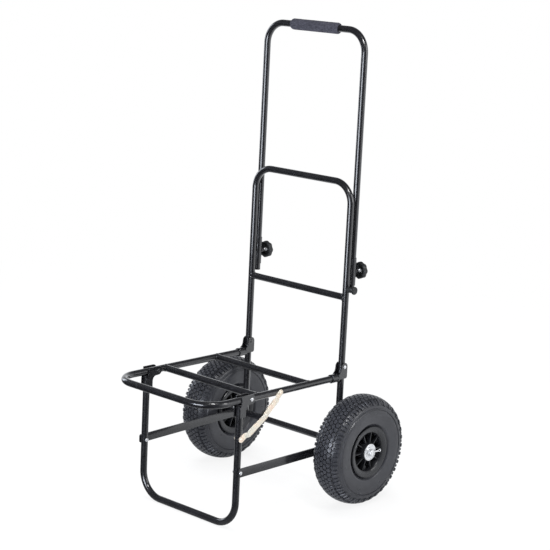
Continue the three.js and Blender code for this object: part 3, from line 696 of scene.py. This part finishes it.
def tread_height(x):
    """The radius of the blocks' tops, which fall away towards the shoulders."""
    return WHEEL_R - 0.0065 * x ** 2 - 2.75e-6 * x ** 4


def add_block(bm, rings, turn):
    """A tread block. Each ring is a list of (along the circumference, across, radius)."""
    made = []
    for ring in rings:
        verts = []
        for along, x, radius in ring:
            angle = turn + along / TREAD_R
            verts.append(bm.verts.new((x, -radius * math.sin(angle), radius * math.cos(angle))))
        made.append(verts)
    loft(bm, made)


def hex_rings(centre):
    """The rings of a six-sided block of the middle columns, from its foot to its top."""
    length = math.pi * TREAD_R / BLOCKS
    side, tip = 3.0, 6.1
    outline = [(-length, -side), (0, -tip), (length, -side),
               (length, side), (0, tip), (-length, side)]
    rings = []
    for inset, drop in ((0.77, 4.4), (1.045, 0.8), (1.87, 0.0)):
        ring = []
        for along, across in outline:
            share = 1 - inset / math.hypot(along, across)
            x = centre + across * share
            ring.append((along * share, x, tread_height(x) - drop))
        rings.append(ring)
    return rings


def lug_rings(way, half_length, section):
    """The rings of a shoulder lug, from one end to the other along the circumference."""
    rings = []
    edge = 0.8
    run = half_length - edge
    for along, shrink in ((-half_length, edge), (-run, 0.0), (run, 0.0), (half_length, edge)):
        rings.append([(along, way * (x - shrink * out), r - shrink * out) for x, r, out in section])
    return rings


# Sections of the shoulder lugs: place across, radius, and whether the corner is on the outside.
LONG_SECTION = [(25.6, 117.0, 0), (25.6, 123.2, 1), (26.8, 124.2, 1), (34.8, 118.8, 1),
                (36.9, 115.0, 1), (36.9, 112.0, 0), (33.0, 111.6, 0)]
SHORT_SECTION = [(26.6, 116.0, 0), (26.6, 122.2, 1), (27.6, 122.8, 1), (33.4, 118.8, 1),
                 (35.3, 115.6, 1), (34.9, 113.4, 0), (31.0, 112.6, 0)]
# Half a lug's length, its section, and how far its row is turned, in lugs.
LUG_ROWS = ((4.1, LONG_SECTION, 0.5), (3.2, SHORT_SECTION, 0.0))


def tyre(side, sign):
    """A tyre with five columns of blocks, every second one offset, and lugs on both shoulders."""
    bm = bmesh.new()
    add_lathe(bm, tyre_profile(), sides=144)
    columns = {column: hex_rings(column * COLUMN) for column in (-2, -1, 0, 1, 2)}
    for index in range(BLOCKS):
        for column, rings in columns.items():
            add_block(bm, rings, (index + 0.5 * (column % 2)) * 2 * math.pi / BLOCKS)
    for way in (-1, 1):
        for half_length, section, phase in LUG_ROWS:
            rings = lug_rings(way, half_length, section)
            for index in range(LUGS):
                add_block(bm, rings, (index + phase) * 2 * math.pi / LUGS)
    bmesh.ops.translate(bm, verts=bm.verts, vec=(sign * TRACK, 0, 0))
    body = f"wheel_{side}"
    make(f"tread_tyre_{side}", bm, "tyre_rubber", body, [f"tyre_{side}"], UPRIGHT, crease=32)


def rim(side, sign):
    """A moulded rim: hub, web, ring and flanges, with ribs on both faces and the valve's end."""
    bm = bmesh.new()
    half = [(HUB_END, 14.4), (HUB_END, 20.4), (HUB_END - 0.6, 21.0), (10.0, 22.2), (4.4, 24.0),
            (3.0, 26.0), (3.0, 39.5), (4.6, 42.0), (10.0, 43.6), (29.6, 45.6), (31.4, 46.4),
            (32.4, 47.6), (34.2, 52.6), (35.2, 57.0), (35.45, 58.8), (35.2, 60.2), (34.4, 60.9),
            (33.3, 60.6), (31.4, 57.0), (29.7, 52.4), (28.6, 51.0)]
    profile = half + [(-x, r) for x, r in reversed(half)]
    add_lathe(bm, profile, sides=120)
    for index in range(RIBS):
        angle = 2 * math.pi * (index + 0.5) / RIBS
        for face in (-1, 1):
            add_rib(bm, angle, face)
    valve(bm, sign)
    bmesh.ops.translate(bm, verts=bm.verts, vec=(sign * TRACK, 0, 0))
    body = f"wheel_{side}"
    make(f"ribbed_rim_{side}", bm, "rim_plastic", body, [f"rim_{side}"], UPRIGHT, crease=34)


def add_rib(bm, angle, face):
    """A thin rib from the hub to the rim's ring, with a straight edge."""
    radial = Vector((0, -math.sin(angle), math.cos(angle)))
    side_way = Vector((0, math.cos(angle), math.sin(angle)))
    section = [(2.0, 20.5), (2.0, 47.0), (27.0, 45.8), (29.0, 20.9)]
    ends = []
    for half in (-1.0, 1.0):
        corners = [ACROSS * face * x + radial * r + side_way * half for x, r in section]
        ends.append([bm.verts.new(corner) for corner in corners])
    loft(bm, ends)


def valve(bm, sign):
    """The end of the tyre's valve, which stands in the rim's recess."""
    profile = [(-47, 0), (-47, 4.4), (-41, 4.2), (-40, 3.2), (-36.5, 3.2), (-35.8, 2.6), (-35.8, 0)]
    recess_middle = 17.75
    add_lathe(bm, profile, centre=(sign * recess_middle, 0, 0), axis="z", sides=24)


# Platform

def platform():
    rear = -TUBE_R - 2 * GAP
    corners = [vec(-SIDE, rear, PLATFORM_Z), vec(-SIDE, -PLATFORM_LENGTH, PLATFORM_Z),
               vec(SIDE, -PLATFORM_LENGTH, PLATFORM_Z), vec(SIDE, rear, PLATFORM_Z)]
    bm = bmesh.new()
    add_tube(bm, bent_path(corners, PLATFORM_BEND), UP)
    make("platform_hoop", bm, "black_powder_coat", "platform", ["platform_tube"])
    for name, y in BARS.items():
        bm = bmesh.new()
        cross_tube(bm, y, PLATFORM_Z, True, y)
        nodes = [f"platform_bar_{name}"]
        make(f"platform_cross_{name}", bm, "black_powder_coat", "platform", nodes)
    both_sides(rear_bracket)


def add_cheeks(bm, sign, outline):
    """Two plates, one on each side of a side tube."""
    for low, high in ((-CHEEK_OUT, -CHEEK_IN), (CHEEK_IN, CHEEK_OUT)):
        add_prism(bm, outline, sign * SIDE + low, sign * SIDE + high)


def rear_bracket(side, sign):
    """Two cheeks beside the upright, on a sleeve pressed round the platform tube's end."""
    bottom, pivot, radius, corner = 156.5, 184.5, 10.0, 5.0
    front = (-18.0, 168.5)
    outline = [(front[0], bottom), (radius - corner, bottom)]
    outline += arc(radius - corner, bottom + corner, corner, -90, 0, 6)[1:]
    outline += arc(0, pivot, radius, 0, 180, 14)
    outline += curve_to((-radius, pivot), (-radius, 172.0), front, 12)
    bm = bmesh.new()
    add_cheeks(bm, sign, outline)
    axis = vec(sign * SIDE, 0, PLATFORM_Z)
    path = [(axis - BACK * 37.0, BACK), (axis - BACK * 12.0, BACK)]
    add_tube(bm, path, ACROSS, radius=CHEEK_OUT, wall=CHEEK)
    nodes = [f"rear_hinge_bracket_{side}"]
    make(f"hinge_bracket_{side}", bm, "black_powder_coat", "platform", nodes, bevel=0.4)
    hinge_rivet(f"rear_hinge_rivet_{side}", 0, pivot, sign, "platform")


# Front leg

def front_leg():
    bm = bmesh.new()
    add_tube(bm, hoop(LEG_Y, PLATFORM_Z - TUBE_R - GAP, FOOT_Z, LEG_BEND), BACK)
    make("leg_hoop", bm, "black_powder_coat", "front_leg", ["front_leg_tube"])
    both_sides(leg_bracket)


def leg_bracket(side, sign):
    """A channel round the back of the leg, whose cheeks reach back to a pivot on the platform."""
    rear, front = LEG_Y + CHEEK_OUT, LEG_Y - TUBE_R
    bottom, low, high = 122.0, 149.0, 170.0
    pivot = LEG_Y + 27.5
    notch = LEG_Y - 3
    outline = [(front, bottom), (rear, bottom), (rear, low - 13)]
    outline += curve_to((rear, low - 13), (rear, low), (rear + 13, low), 8)
    outline += arc(pivot, PLATFORM_Z, 10.5, -90, 90, 12)
    outline += [(notch, high), (notch, PLATFORM_Z)]
    outline += curve_to((notch, PLATFORM_Z), (notch, low), (front, low - 3), 8)
    web = [(rear - CHEEK, bottom), (rear, bottom), (rear, low - 13), (rear - CHEEK, low - 13)]
    half_web = 9.5
    bm = bmesh.new()
    add_cheeks(bm, sign, outline)
    add_prism(bm, web, sign * SIDE - half_web, sign * SIDE + half_web)
    nodes = [f"leg_bracket_{side}"]
    make(f"leg_channel_{side}", bm, "black_powder_coat", "front_leg", nodes, bevel=0.45)
    hinge_rivet(f"leg_hinge_rivet_{side}", pivot, PLATFORM_Z, sign, "front_leg")
    inner, outer = sign * (SIDE - CHEEK_IN), sign * (SIDE + TUBE_R)
    rivet(f"stay_rivet_tail_{side}", LEG_Y, -STAY_DROP, inner, outer, START, "front_leg")


# Stays

def stay_place(y):
    """How far out the bar's middle lies at a place along it."""
    start = 12.0 - STAY_REACH
    share = (y - start) / (-STAY_NECK - start)
    return STAY_IN + STAY_THICK / 2 + STAY_SPLAY * min(1.0, max(0.0, share))


def stay_half_height(y, front):
    """Half the bar's height: a rounded front end, a straight run and a round eye at the axle."""
    if y > 0:
        return math.sqrt(max(0.2, STAY_EYE ** 2 - y ** 2))
    if y > -STAY_NECK:
        return STAY_EYE + (STAY_EYE - STAY_HALF) * y / STAY_NECK
    past = STAY_CORNER - (y - front)
    if past > 0:
        return STAY_HALF - STAY_CORNER + math.sqrt(max(0.0, STAY_CORNER ** 2 - past ** 2))
    return STAY_HALF


def stay(side, sign):
    """A stay in its own frame: the axle at the origin, and the leg's rivet straight in front."""
    turned = LEANING @ Matrix.Rotation(STAY_TURN, 4, "X")
    front = -STAY_REACH - 6.0
    end = [front + STAY_CORNER * (1 - math.cos(math.radians(15 * step))) for step in range(7)]
    run = [-STAY_REACH + 10.0, -STAY_REACH + 14.0, -200.0, -120.0, -34.0, -STAY_NECK, -26.0, -12.0]
    eye = [STAY_EYE * math.sin(math.radians(6 * step)) for step in range(16)]
    bm = bmesh.new()
    rings = []
    for y in end + run + eye:
        half = stay_half_height(y, front)
        rings.append(box_ring(bm, sign * stay_place(y), y, half, STAY_THICK / 2, 0.5))
    loft(bm, rings)
    body = f"stay_{side}"
    make(f"flat_stay_{side}", bm, "black_powder_coat", body, [f"stay_{side}"], turned)
    inner, outer = sign * STAY_IN, sign * (STAY_IN + STAY_THICK + GAP)
    rivet(f"stay_rivet_{side}", -STAY_REACH, 0, inner, outer, STOP, body, matrix=turned)


def box_ring(bm, x, y, tall, wide, corner):
    """A cross section with round corners. The sizes are halves."""
    ring = []
    for sx, sz, start in ((1, 1, 0), (-1, 1, 90), (-1, -1, 180), (1, -1, 270)):
        for step in range(4):
            angle = math.radians(start + 30 * step)
            px = x + sx * (wide - corner) + corner * math.cos(angle)
            ring.append(bm.verts.new((px, y, sz * (tall - corner) + corner * math.sin(angle))))
    return ring


# Brace on the right side

# Its pins in (y, z), and the inner faces of its strips: at the pins' tabs, and of each link's run.
FOOT_PIN = Vector((LEG_Y, PLATFORM_Z - 87.5))
HEAD_PIN = Vector((LEG_Y + 121.0, PLATFORM_Z))
LOWER_LENGTH = 83.0
BRACE_BOW = 4.3
STRIP_HALF = 7.0
STRIP = 2.0
TAB_X = SIDE + TUBE_R + GAP
UPPER_X = SIDE + 12.2 + GAP
LOWER_X = UPPER_X + STRIP + GAP


def elbow():
    """The middle joint, a little below and behind the line between the brace's ends."""
    along = math.sqrt(LOWER_LENGTH ** 2 - BRACE_BOW ** 2)
    way = (HEAD_PIN - FOOT_PIN).normalized()
    return FOOT_PIN + way * along + Vector((way.y, -way.x)) * BRACE_BOW


def link_matrix(pin, target):
    """The frame of a link: its own pin at the origin, and the joint straight behind."""
    angle = math.atan2(target.y - pin.y, target.x - pin.x)
    return LEANING @ Matrix.Translation((0, pin.x, pin.y)) @ Matrix.Rotation(angle, 4, "X")


def add_link(bm, length, main_x, flange):
    """A pressed strip: a tab, a step out, a straight run to the joint, and one edge folded in.

    The flange is given by its start and end along the strip, its depth and its edge.
    """
    stations = [(-STRIP_HALF, TAB_X), (11.0, TAB_X), (13.0, TAB_X + 0.25), (19.0, main_x - 0.25),
                (21.0, main_x), (length + STRIP_HALF, main_x)]
    places = []
    for (y0, x0), (y1, x1) in zip(stations, stations[1:]):
        count = max(1, int((y1 - y0) / 1.4))
        places += [(y0 + (y1 - y0) * k / count, x0 + (x1 - x0) * k / count) for k in range(count)]
    places.append(stations[-1])
    rings = []
    for y, x in places:
        past = max(-y, y - length)
        half = STRIP_HALF if past <= 0 else math.sqrt(max(0.05, STRIP_HALF ** 2 - past ** 2))
        corners = ((x, -half), (x + STRIP, -half), (x + STRIP, half), (x, half))
        rings.append([bm.verts.new((px, y, pz)) for px, pz in corners])
    loft(bm, rings)
    start, end, depth, edge = flange
    half = 0.9
    box = [(start, edge - half), (end, edge - half), (end, edge + half), (start, edge + half)]
    add_prism(bm, box, main_x - depth, main_x + STRIP / 2)


def brace():
    """Two links from the leg to the platform, their joint with its disc, and their pins."""
    joint = elbow()
    lower = link_matrix(FOOT_PIN, joint)
    upper = link_matrix(HEAD_PIN, joint)
    upper_length = (joint - HEAD_PIN).length
    look = "yellow_zinc"
    bm = bmesh.new()
    add_link(bm, LOWER_LENGTH, LOWER_X, (24.0, LOWER_LENGTH - 36.0, 1.6, 6.0))
    make("brace_strip_lower", bm, look, "brace_lower", ["brace_link_lower"], lower, bevel=0.3)
    bm = bmesh.new()
    add_link(bm, upper_length, UPPER_X, (24.0, upper_length - 14.0, 2.2, -6.0))
    make("brace_strip_upper", bm, look, "brace_upper", ["brace_link_upper"], upper, bevel=0.3)
    end = LOWER_X + STRIP + GAP
    rivet("brace_joint_pin", LOWER_LENGTH, 0, LOWER_X, end, STOP, "brace_lower", look, lower)
    bm = bmesh.new()
    seat, stub = UPPER_X - GAP, UPPER_X + STRIP
    profile = [(seat - 1.8, 0), (seat - 1.8, 11.4), (seat - 1.2, 12.0), (seat - 0.5, 12.0),
               (seat, 11.4), (seat, 3), (stub, 3), (stub, 0)]
    add_lathe(bm, profile, centre=(0, upper_length, 0), sides=48)
    make("brace_disc", bm, "black_plastic", "brace_upper", ["brace_joint_disc"], upper)
    inner, outer = SIDE - TUBE_R - GAP, TAB_X + STRIP + GAP
    rivet("brace_foot_pin", *FOOT_PIN, inner, outer, BOTH, "front_leg", look)
    rivet("brace_head_pin", *HEAD_PIN, inner, outer, BOTH, "platform", look)


# Handle and clamps

def handle():
    bm = bmesh.new()
    add_tube(bm, hoop(HANDLE_Y, HANDLE_END, HANDLE_TOP, TOP_BEND), BACK)
    make("handle_hoop", bm, "black_powder_coat", "handle", ["handle_tube"])
    foam_grip()
    both_sides(handle_plug)


def foam_grip():
    """The grip round the handle's top bar, with a slightly uneven skin."""
    bm = bmesh.new()
    half, radius, inner, steps = 74.0, 13.1, 8.4, 60
    run = half - 6.0
    profile = [(-half, inner), (-half, 9.0), (-half + 0.8, 10.4), (-half + 4.2, 12.7)]
    profile += [(-run + 2 * run * step / steps, radius) for step in range(steps + 1)]
    profile += [(half - 4.2, 12.7), (half - 0.8, 10.4), (half, 9.0), (half, inner)]
    add_lathe(bm, profile, centre=(0, HANDLE_Y, HANDLE_TOP), sides=72)
    for vert in bm.verts:
        off = Vector((0, vert.co.y - HANDLE_Y, vert.co.z - HANDLE_TOP))
        if off.length > 9.2:
            swell = 0.16 * noise.noise(vert.co * 0.09) + 0.08 * noise.noise(vert.co * 0.35)
            vert.co += off.normalized() * (swell - 0.1)
    piece = make("foam_sleeve", bm, "foam", "handle", ["foam_grip"], crease=60)


def handle_plug(side, sign):
    """A cap on the handle's lower end, with a spigot inside the tube."""
    bm = bmesh.new()
    low = HANDLE_END - GAP - 2.0
    seat, top = low + 2.0, low + 12.0
    profile = [(low, 0), (low, 7.0), (low + 0.5, 7.8), (seat, TUBE_R),
               (seat, 6.4), (top, 6.4), (top, 0)]
    add_lathe(bm, profile, centre=(sign * SIDE, HANDLE_Y, 0), axis="z", sides=40)
    make(f"end_plug_{side}", bm, "black_plastic", "handle", [f"handle_plug_{side}"])


def clamp(side, sign):
    """The lobed knob behind a sleeve, hollow towards it, and the screw with its nut."""
    boss = HANDLE_Y + SLEEVE_R + BOSS_HEIGHT
    face = boss + 7.9
    back = face + 10.5
    web = back - 2.0
    body = f"clamp_{side}"
    place = (sign * SIDE, 0, CLAMP_Z)
    bm = bmesh.new()
    knob_shell(bm, face, web, back)
    bmesh.ops.translate(bm, verts=bm.verts, vec=place)
    make(f"star_knob_{side}", bm, "black_plastic", body, [f"clamp_knob_{side}"], crease=34)
    bm = bmesh.new()
    nut_end = web - GAP
    foot = boss - 4.0
    turns = int(2 * (nut_end - boss)) + 8
    thread = [(foot + step / 2, 3.0 if step % 2 else 2.7) for step in range(turns)]
    add_lathe(bm, [(foot, 0)] + thread + [(nut_end, 2.7), (nut_end, 0)], axis="y", sides=28)
    add_prism(bm, arc(0, 0, 4.95, 0, 300, 5), nut_end - 5.0, nut_end, axis="y")
    bmesh.ops.translate(bm, verts=bm.verts, vec=place)
    make(f"clamp_stud_{side}", bm, "bright_zinc", body, [f"clamp_screw_{side}"], bevel=0.12)


def knob_shell(bm, face, web, back):
    """A closed ring of sections round the knob: its hollow front, lobed rim and flat back."""
    steps, lobes, depth, bore = 96, 8, 1.6, 3.4
    rings = []
    for step in range(steps):
        angle = 2 * math.pi * step / steps
        outer = 20.5 - depth * (1 - math.cos(lobes * angle)) / 2
        section = [(web, bore), (web, 14.4), (web - 0.8, 15.0), (face + 0.6, 15.5), (face, 16.1),
                   (face, outer - 1.8), (face + 0.6, outer - 0.6), (face + 1.8, outer),
                   (back - 1.8, outer), (back - 0.6, outer - 0.6), (back, outer - 1.8),
                   (back, bore)]
        u, v = math.cos(angle), math.sin(angle)
        rings.append([bm.verts.new((radius * u, y, radius * v)) for y, radius in section])
    for first, second in zip(rings, rings[1:] + rings[:1]):
        bridge(bm, first, second)
    for at in (0, -1):
        bm.faces.new([ring[at] for ring in rings])


# All visible pieces, and the hidden CAD nodes that are kept as they are

back_frame()
axle_parts()
both_sides(tyre)
both_sides(rim)
platform()
front_leg()
both_sides(stay)
brace()
handle()
both_sides(clamp)

KEPT = {"inner_tube": "tyre_rubber", "bearing_inner": "bare_steel", "bearing_outer": "bare_steel"}
for stem, slot in KEPT.items():
    for side in SIDES:
        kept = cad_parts[f"{stem}_{side}"]
        kept.data.materials.clear()
        kept.data.materials.append(LOOKS[slot])


# Floor, light and camera

def hang(data, place, target):
    """Puts a light into the scene, turned towards its target."""
    light = bpy.data.objects.new(data.name, data)
    light.location = place
    light.rotation_euler = (Vector(target) - light.location).to_track_quat("-Z", "Y").to_euler()
    bpy.context.scene.collection.objects.link(light)
    return light


def area_light(name, place, target, size, power, colour=(1, 1, 1)):
    data = bpy.data.lights.new(name, "AREA")
    data.shape = "RECTANGLE"
    data.size, data.size_y = size
    data.energy = power
    data.color = colour
    hang(data, place, target)


def spot_light(name, place, target, cone, power, colour):
    """A narrow light for one place on the right tyre."""
    data = bpy.data.lights.new(name, "SPOT")
    data.energy = power
    data.color = colour
    data.spot_size = math.radians(cone)
    data.spot_blend = 0.6
    data.shadow_soft_size = 0.3
    hang(data, place, target).visible_camera = False


def soft_sun(place, strength, width):
    """A wide sun, which lights the whole floor alike and shows in no reflection."""
    data = bpy.data.lights.new("soft_sun", "SUN")
    data.energy = strength
    data.angle = math.radians(width)
    hang(data, place, (0, 0, 0)).visible_glossy = False


def floor_material():
    """A white floor with a faint shadow. Glossy things mirror it white behind and dark in front."""
    look = Look("white_floor", 0.9, specular=0.0)
    look.colour(look.noise(2.0, 2), [(0.3, (0.93, 0.93, 0.935)), (0.7, (0.95, 0.95, 0.955))])
    tree = look.tree
    lit = look.shader.outputs["BSDF"]
    place = look.place.outputs["Object"]
    rays = node(tree, "ShaderNodeLightPath")
    white = node(tree, "ShaderNodeEmission", {"Color": rgba((1, 1, 1)), "Strength": 1.0})
    away = node(tree, "ShaderNodeVectorMath", operation="LENGTH")
    look.link(place, away.inputs[0])
    fade = remap(tree, away.outputs["Value"], (0.5, 2.5), (0.86, 1.0))
    seen = mix(tree, fade, lit, white.outputs["Emission"])
    apart = node(tree, "ShaderNodeSeparateXYZ")
    look.link(place, apart.inputs["Vector"])
    depth = remap(tree, apart.outputs["Y"], (-0.35, 0.45), (0.03, 1.0))
    mirrored = node(tree, "ShaderNodeEmission", {"Color": rgba((0.95, 0.97, 1))})
    look.link(depth, mirrored.inputs["Strength"])
    to_camera = mix(tree, rays.outputs["Is Camera Ray"], lit, seen)
    to_gloss = mix(tree, rays.outputs["Is Glossy Ray"], to_camera, mirrored.outputs["Emission"])
    look.link(to_gloss, tree.nodes["Material Output"].inputs["Surface"])
    return look.material


def floor():
    mesh = bpy.data.meshes.new("studio_floor")
    reach = 14.0
    corners = [(-reach, -reach, 0), (reach, -reach, 0), (reach, reach, 0), (-reach, reach, 0)]
    mesh.from_pydata(corners, [], [(0, 1, 2, 3)])
    mesh.materials.append(floor_material())
    piece = bpy.data.objects.new("studio_floor", mesh)
    bpy.context.scene.collection.objects.link(piece)


def surroundings():
    """Even light all round. Glossy things mirror a white sweep behind and a dark room in front."""
    world = bpy.data.worlds.new("studio")
    world.use_nodes = True
    bpy.context.scene.world = world
    tree = world.node_tree
    backdrop = tree.nodes["Background"]
    backdrop.inputs["Color"].default_value = rgba((0.92, 0.95, 1.0))
    backdrop.inputs["Strength"].default_value = 0.3
    rays = node(tree, "ShaderNodeLightPath")
    place = node(tree, "ShaderNodeTexCoord")
    apart = node(tree, "ShaderNodeSeparateXYZ")
    tree.links.new(place.outputs["Generated"], apart.inputs["Vector"])
    behind = remap(tree, apart.outputs["Y"], (-0.1, 0.45), (0.1, 1.0))
    low = remap(tree, apart.outputs["Z"], (0.15, 0.6), (1.0, 0.1))
    both = node(tree, "ShaderNodeMath", operation="MINIMUM")
    tree.links.new(behind, both.inputs[0])
    tree.links.new(low, both.inputs[1])
    mirrored = node(tree, "ShaderNodeBackground", {"Color": rgba((0.95, 0.97, 1))})
    tree.links.new(both.outputs["Value"], mirrored.inputs["Strength"])
    lit, glossy = backdrop.outputs["Background"], mirrored.outputs["Background"]
    to_gloss = mix(tree, rays.outputs["Is Glossy Ray"], lit, glossy)
    seen = node(tree, "ShaderNodeBackground", {"Color": rgba((1, 1, 1)), "Strength": 1.0})
    to_camera = mix(tree, rays.outputs["Is Camera Ray"], to_gloss, seen.outputs["Background"])
    tree.links.new(to_camera, tree.nodes["World Output"].inputs["Surface"])


def camera():
    """The photo's camera, as it was fitted together with the trolley's sizes."""
    azimuth, elevation, roll = (math.radians(a) for a in (43.388, 13.431, 1.119))
    level = math.cos(elevation)
    back = Vector((math.sin(azimuth) * level, -math.cos(azimuth) * level, math.sin(elevation)))
    right = Vector((math.cos(azimuth), math.sin(azimuth), 0))
    up = back.cross(right)
    turned_right = right * math.cos(roll) + up * math.sin(roll)
    turned_up = up * math.cos(roll) - right * math.sin(roll)
    data = bpy.data.cameras.new("photo_camera")
    data.sensor_fit = "HORIZONTAL"
    data.sensor_width = 36.0
    data.lens = 109.93
    made = bpy.data.objects.new("photo_camera", data)
    basis = Matrix((turned_right, turned_up, back)).transposed().to_4x4()
    made.matrix_world = Matrix.Translation((2.62988, -2.84581 + SHIFT * MM, 1.4325)) @ basis
    bpy.context.scene.collection.objects.link(made)
    bpy.context.scene.camera = made


# Each light has its place, what it points at, its size in metres or degrees, and its watts.
floor()
surroundings()
soft_sun((-0.25, 0.1, 1.0), 2.15, 50)
area_light("front_softbox", (0.38, -2.15, 0.62), (0, 0.1, 0.6), (1.3, 0.95), 34, (0.86, 0.91, 1.0))
spot_light("tread_light", (0.06, -1.4, 0.46), (0.225, -0.1, 0.17), 9, 105, (0.72, 0.8, 1.0))
area_light("left_softbox", (-2.8, -0.3, 1.2), (0, 0, 0.4), (0.8, 1.6), 16, (0.84, 0.9, 1.0))
area_light("right_softbox", (2.8, 1.4, 1.6), (0, 0, 0.3), (0.8, 1.6), 20)
area_light("high_softbox", (1.3, -0.5, 2.25), (0.26, 0, 0.13), (0.42, 0.42), 20)
camera()
bpy.context.scene.view_settings.view_transform = "Standard"
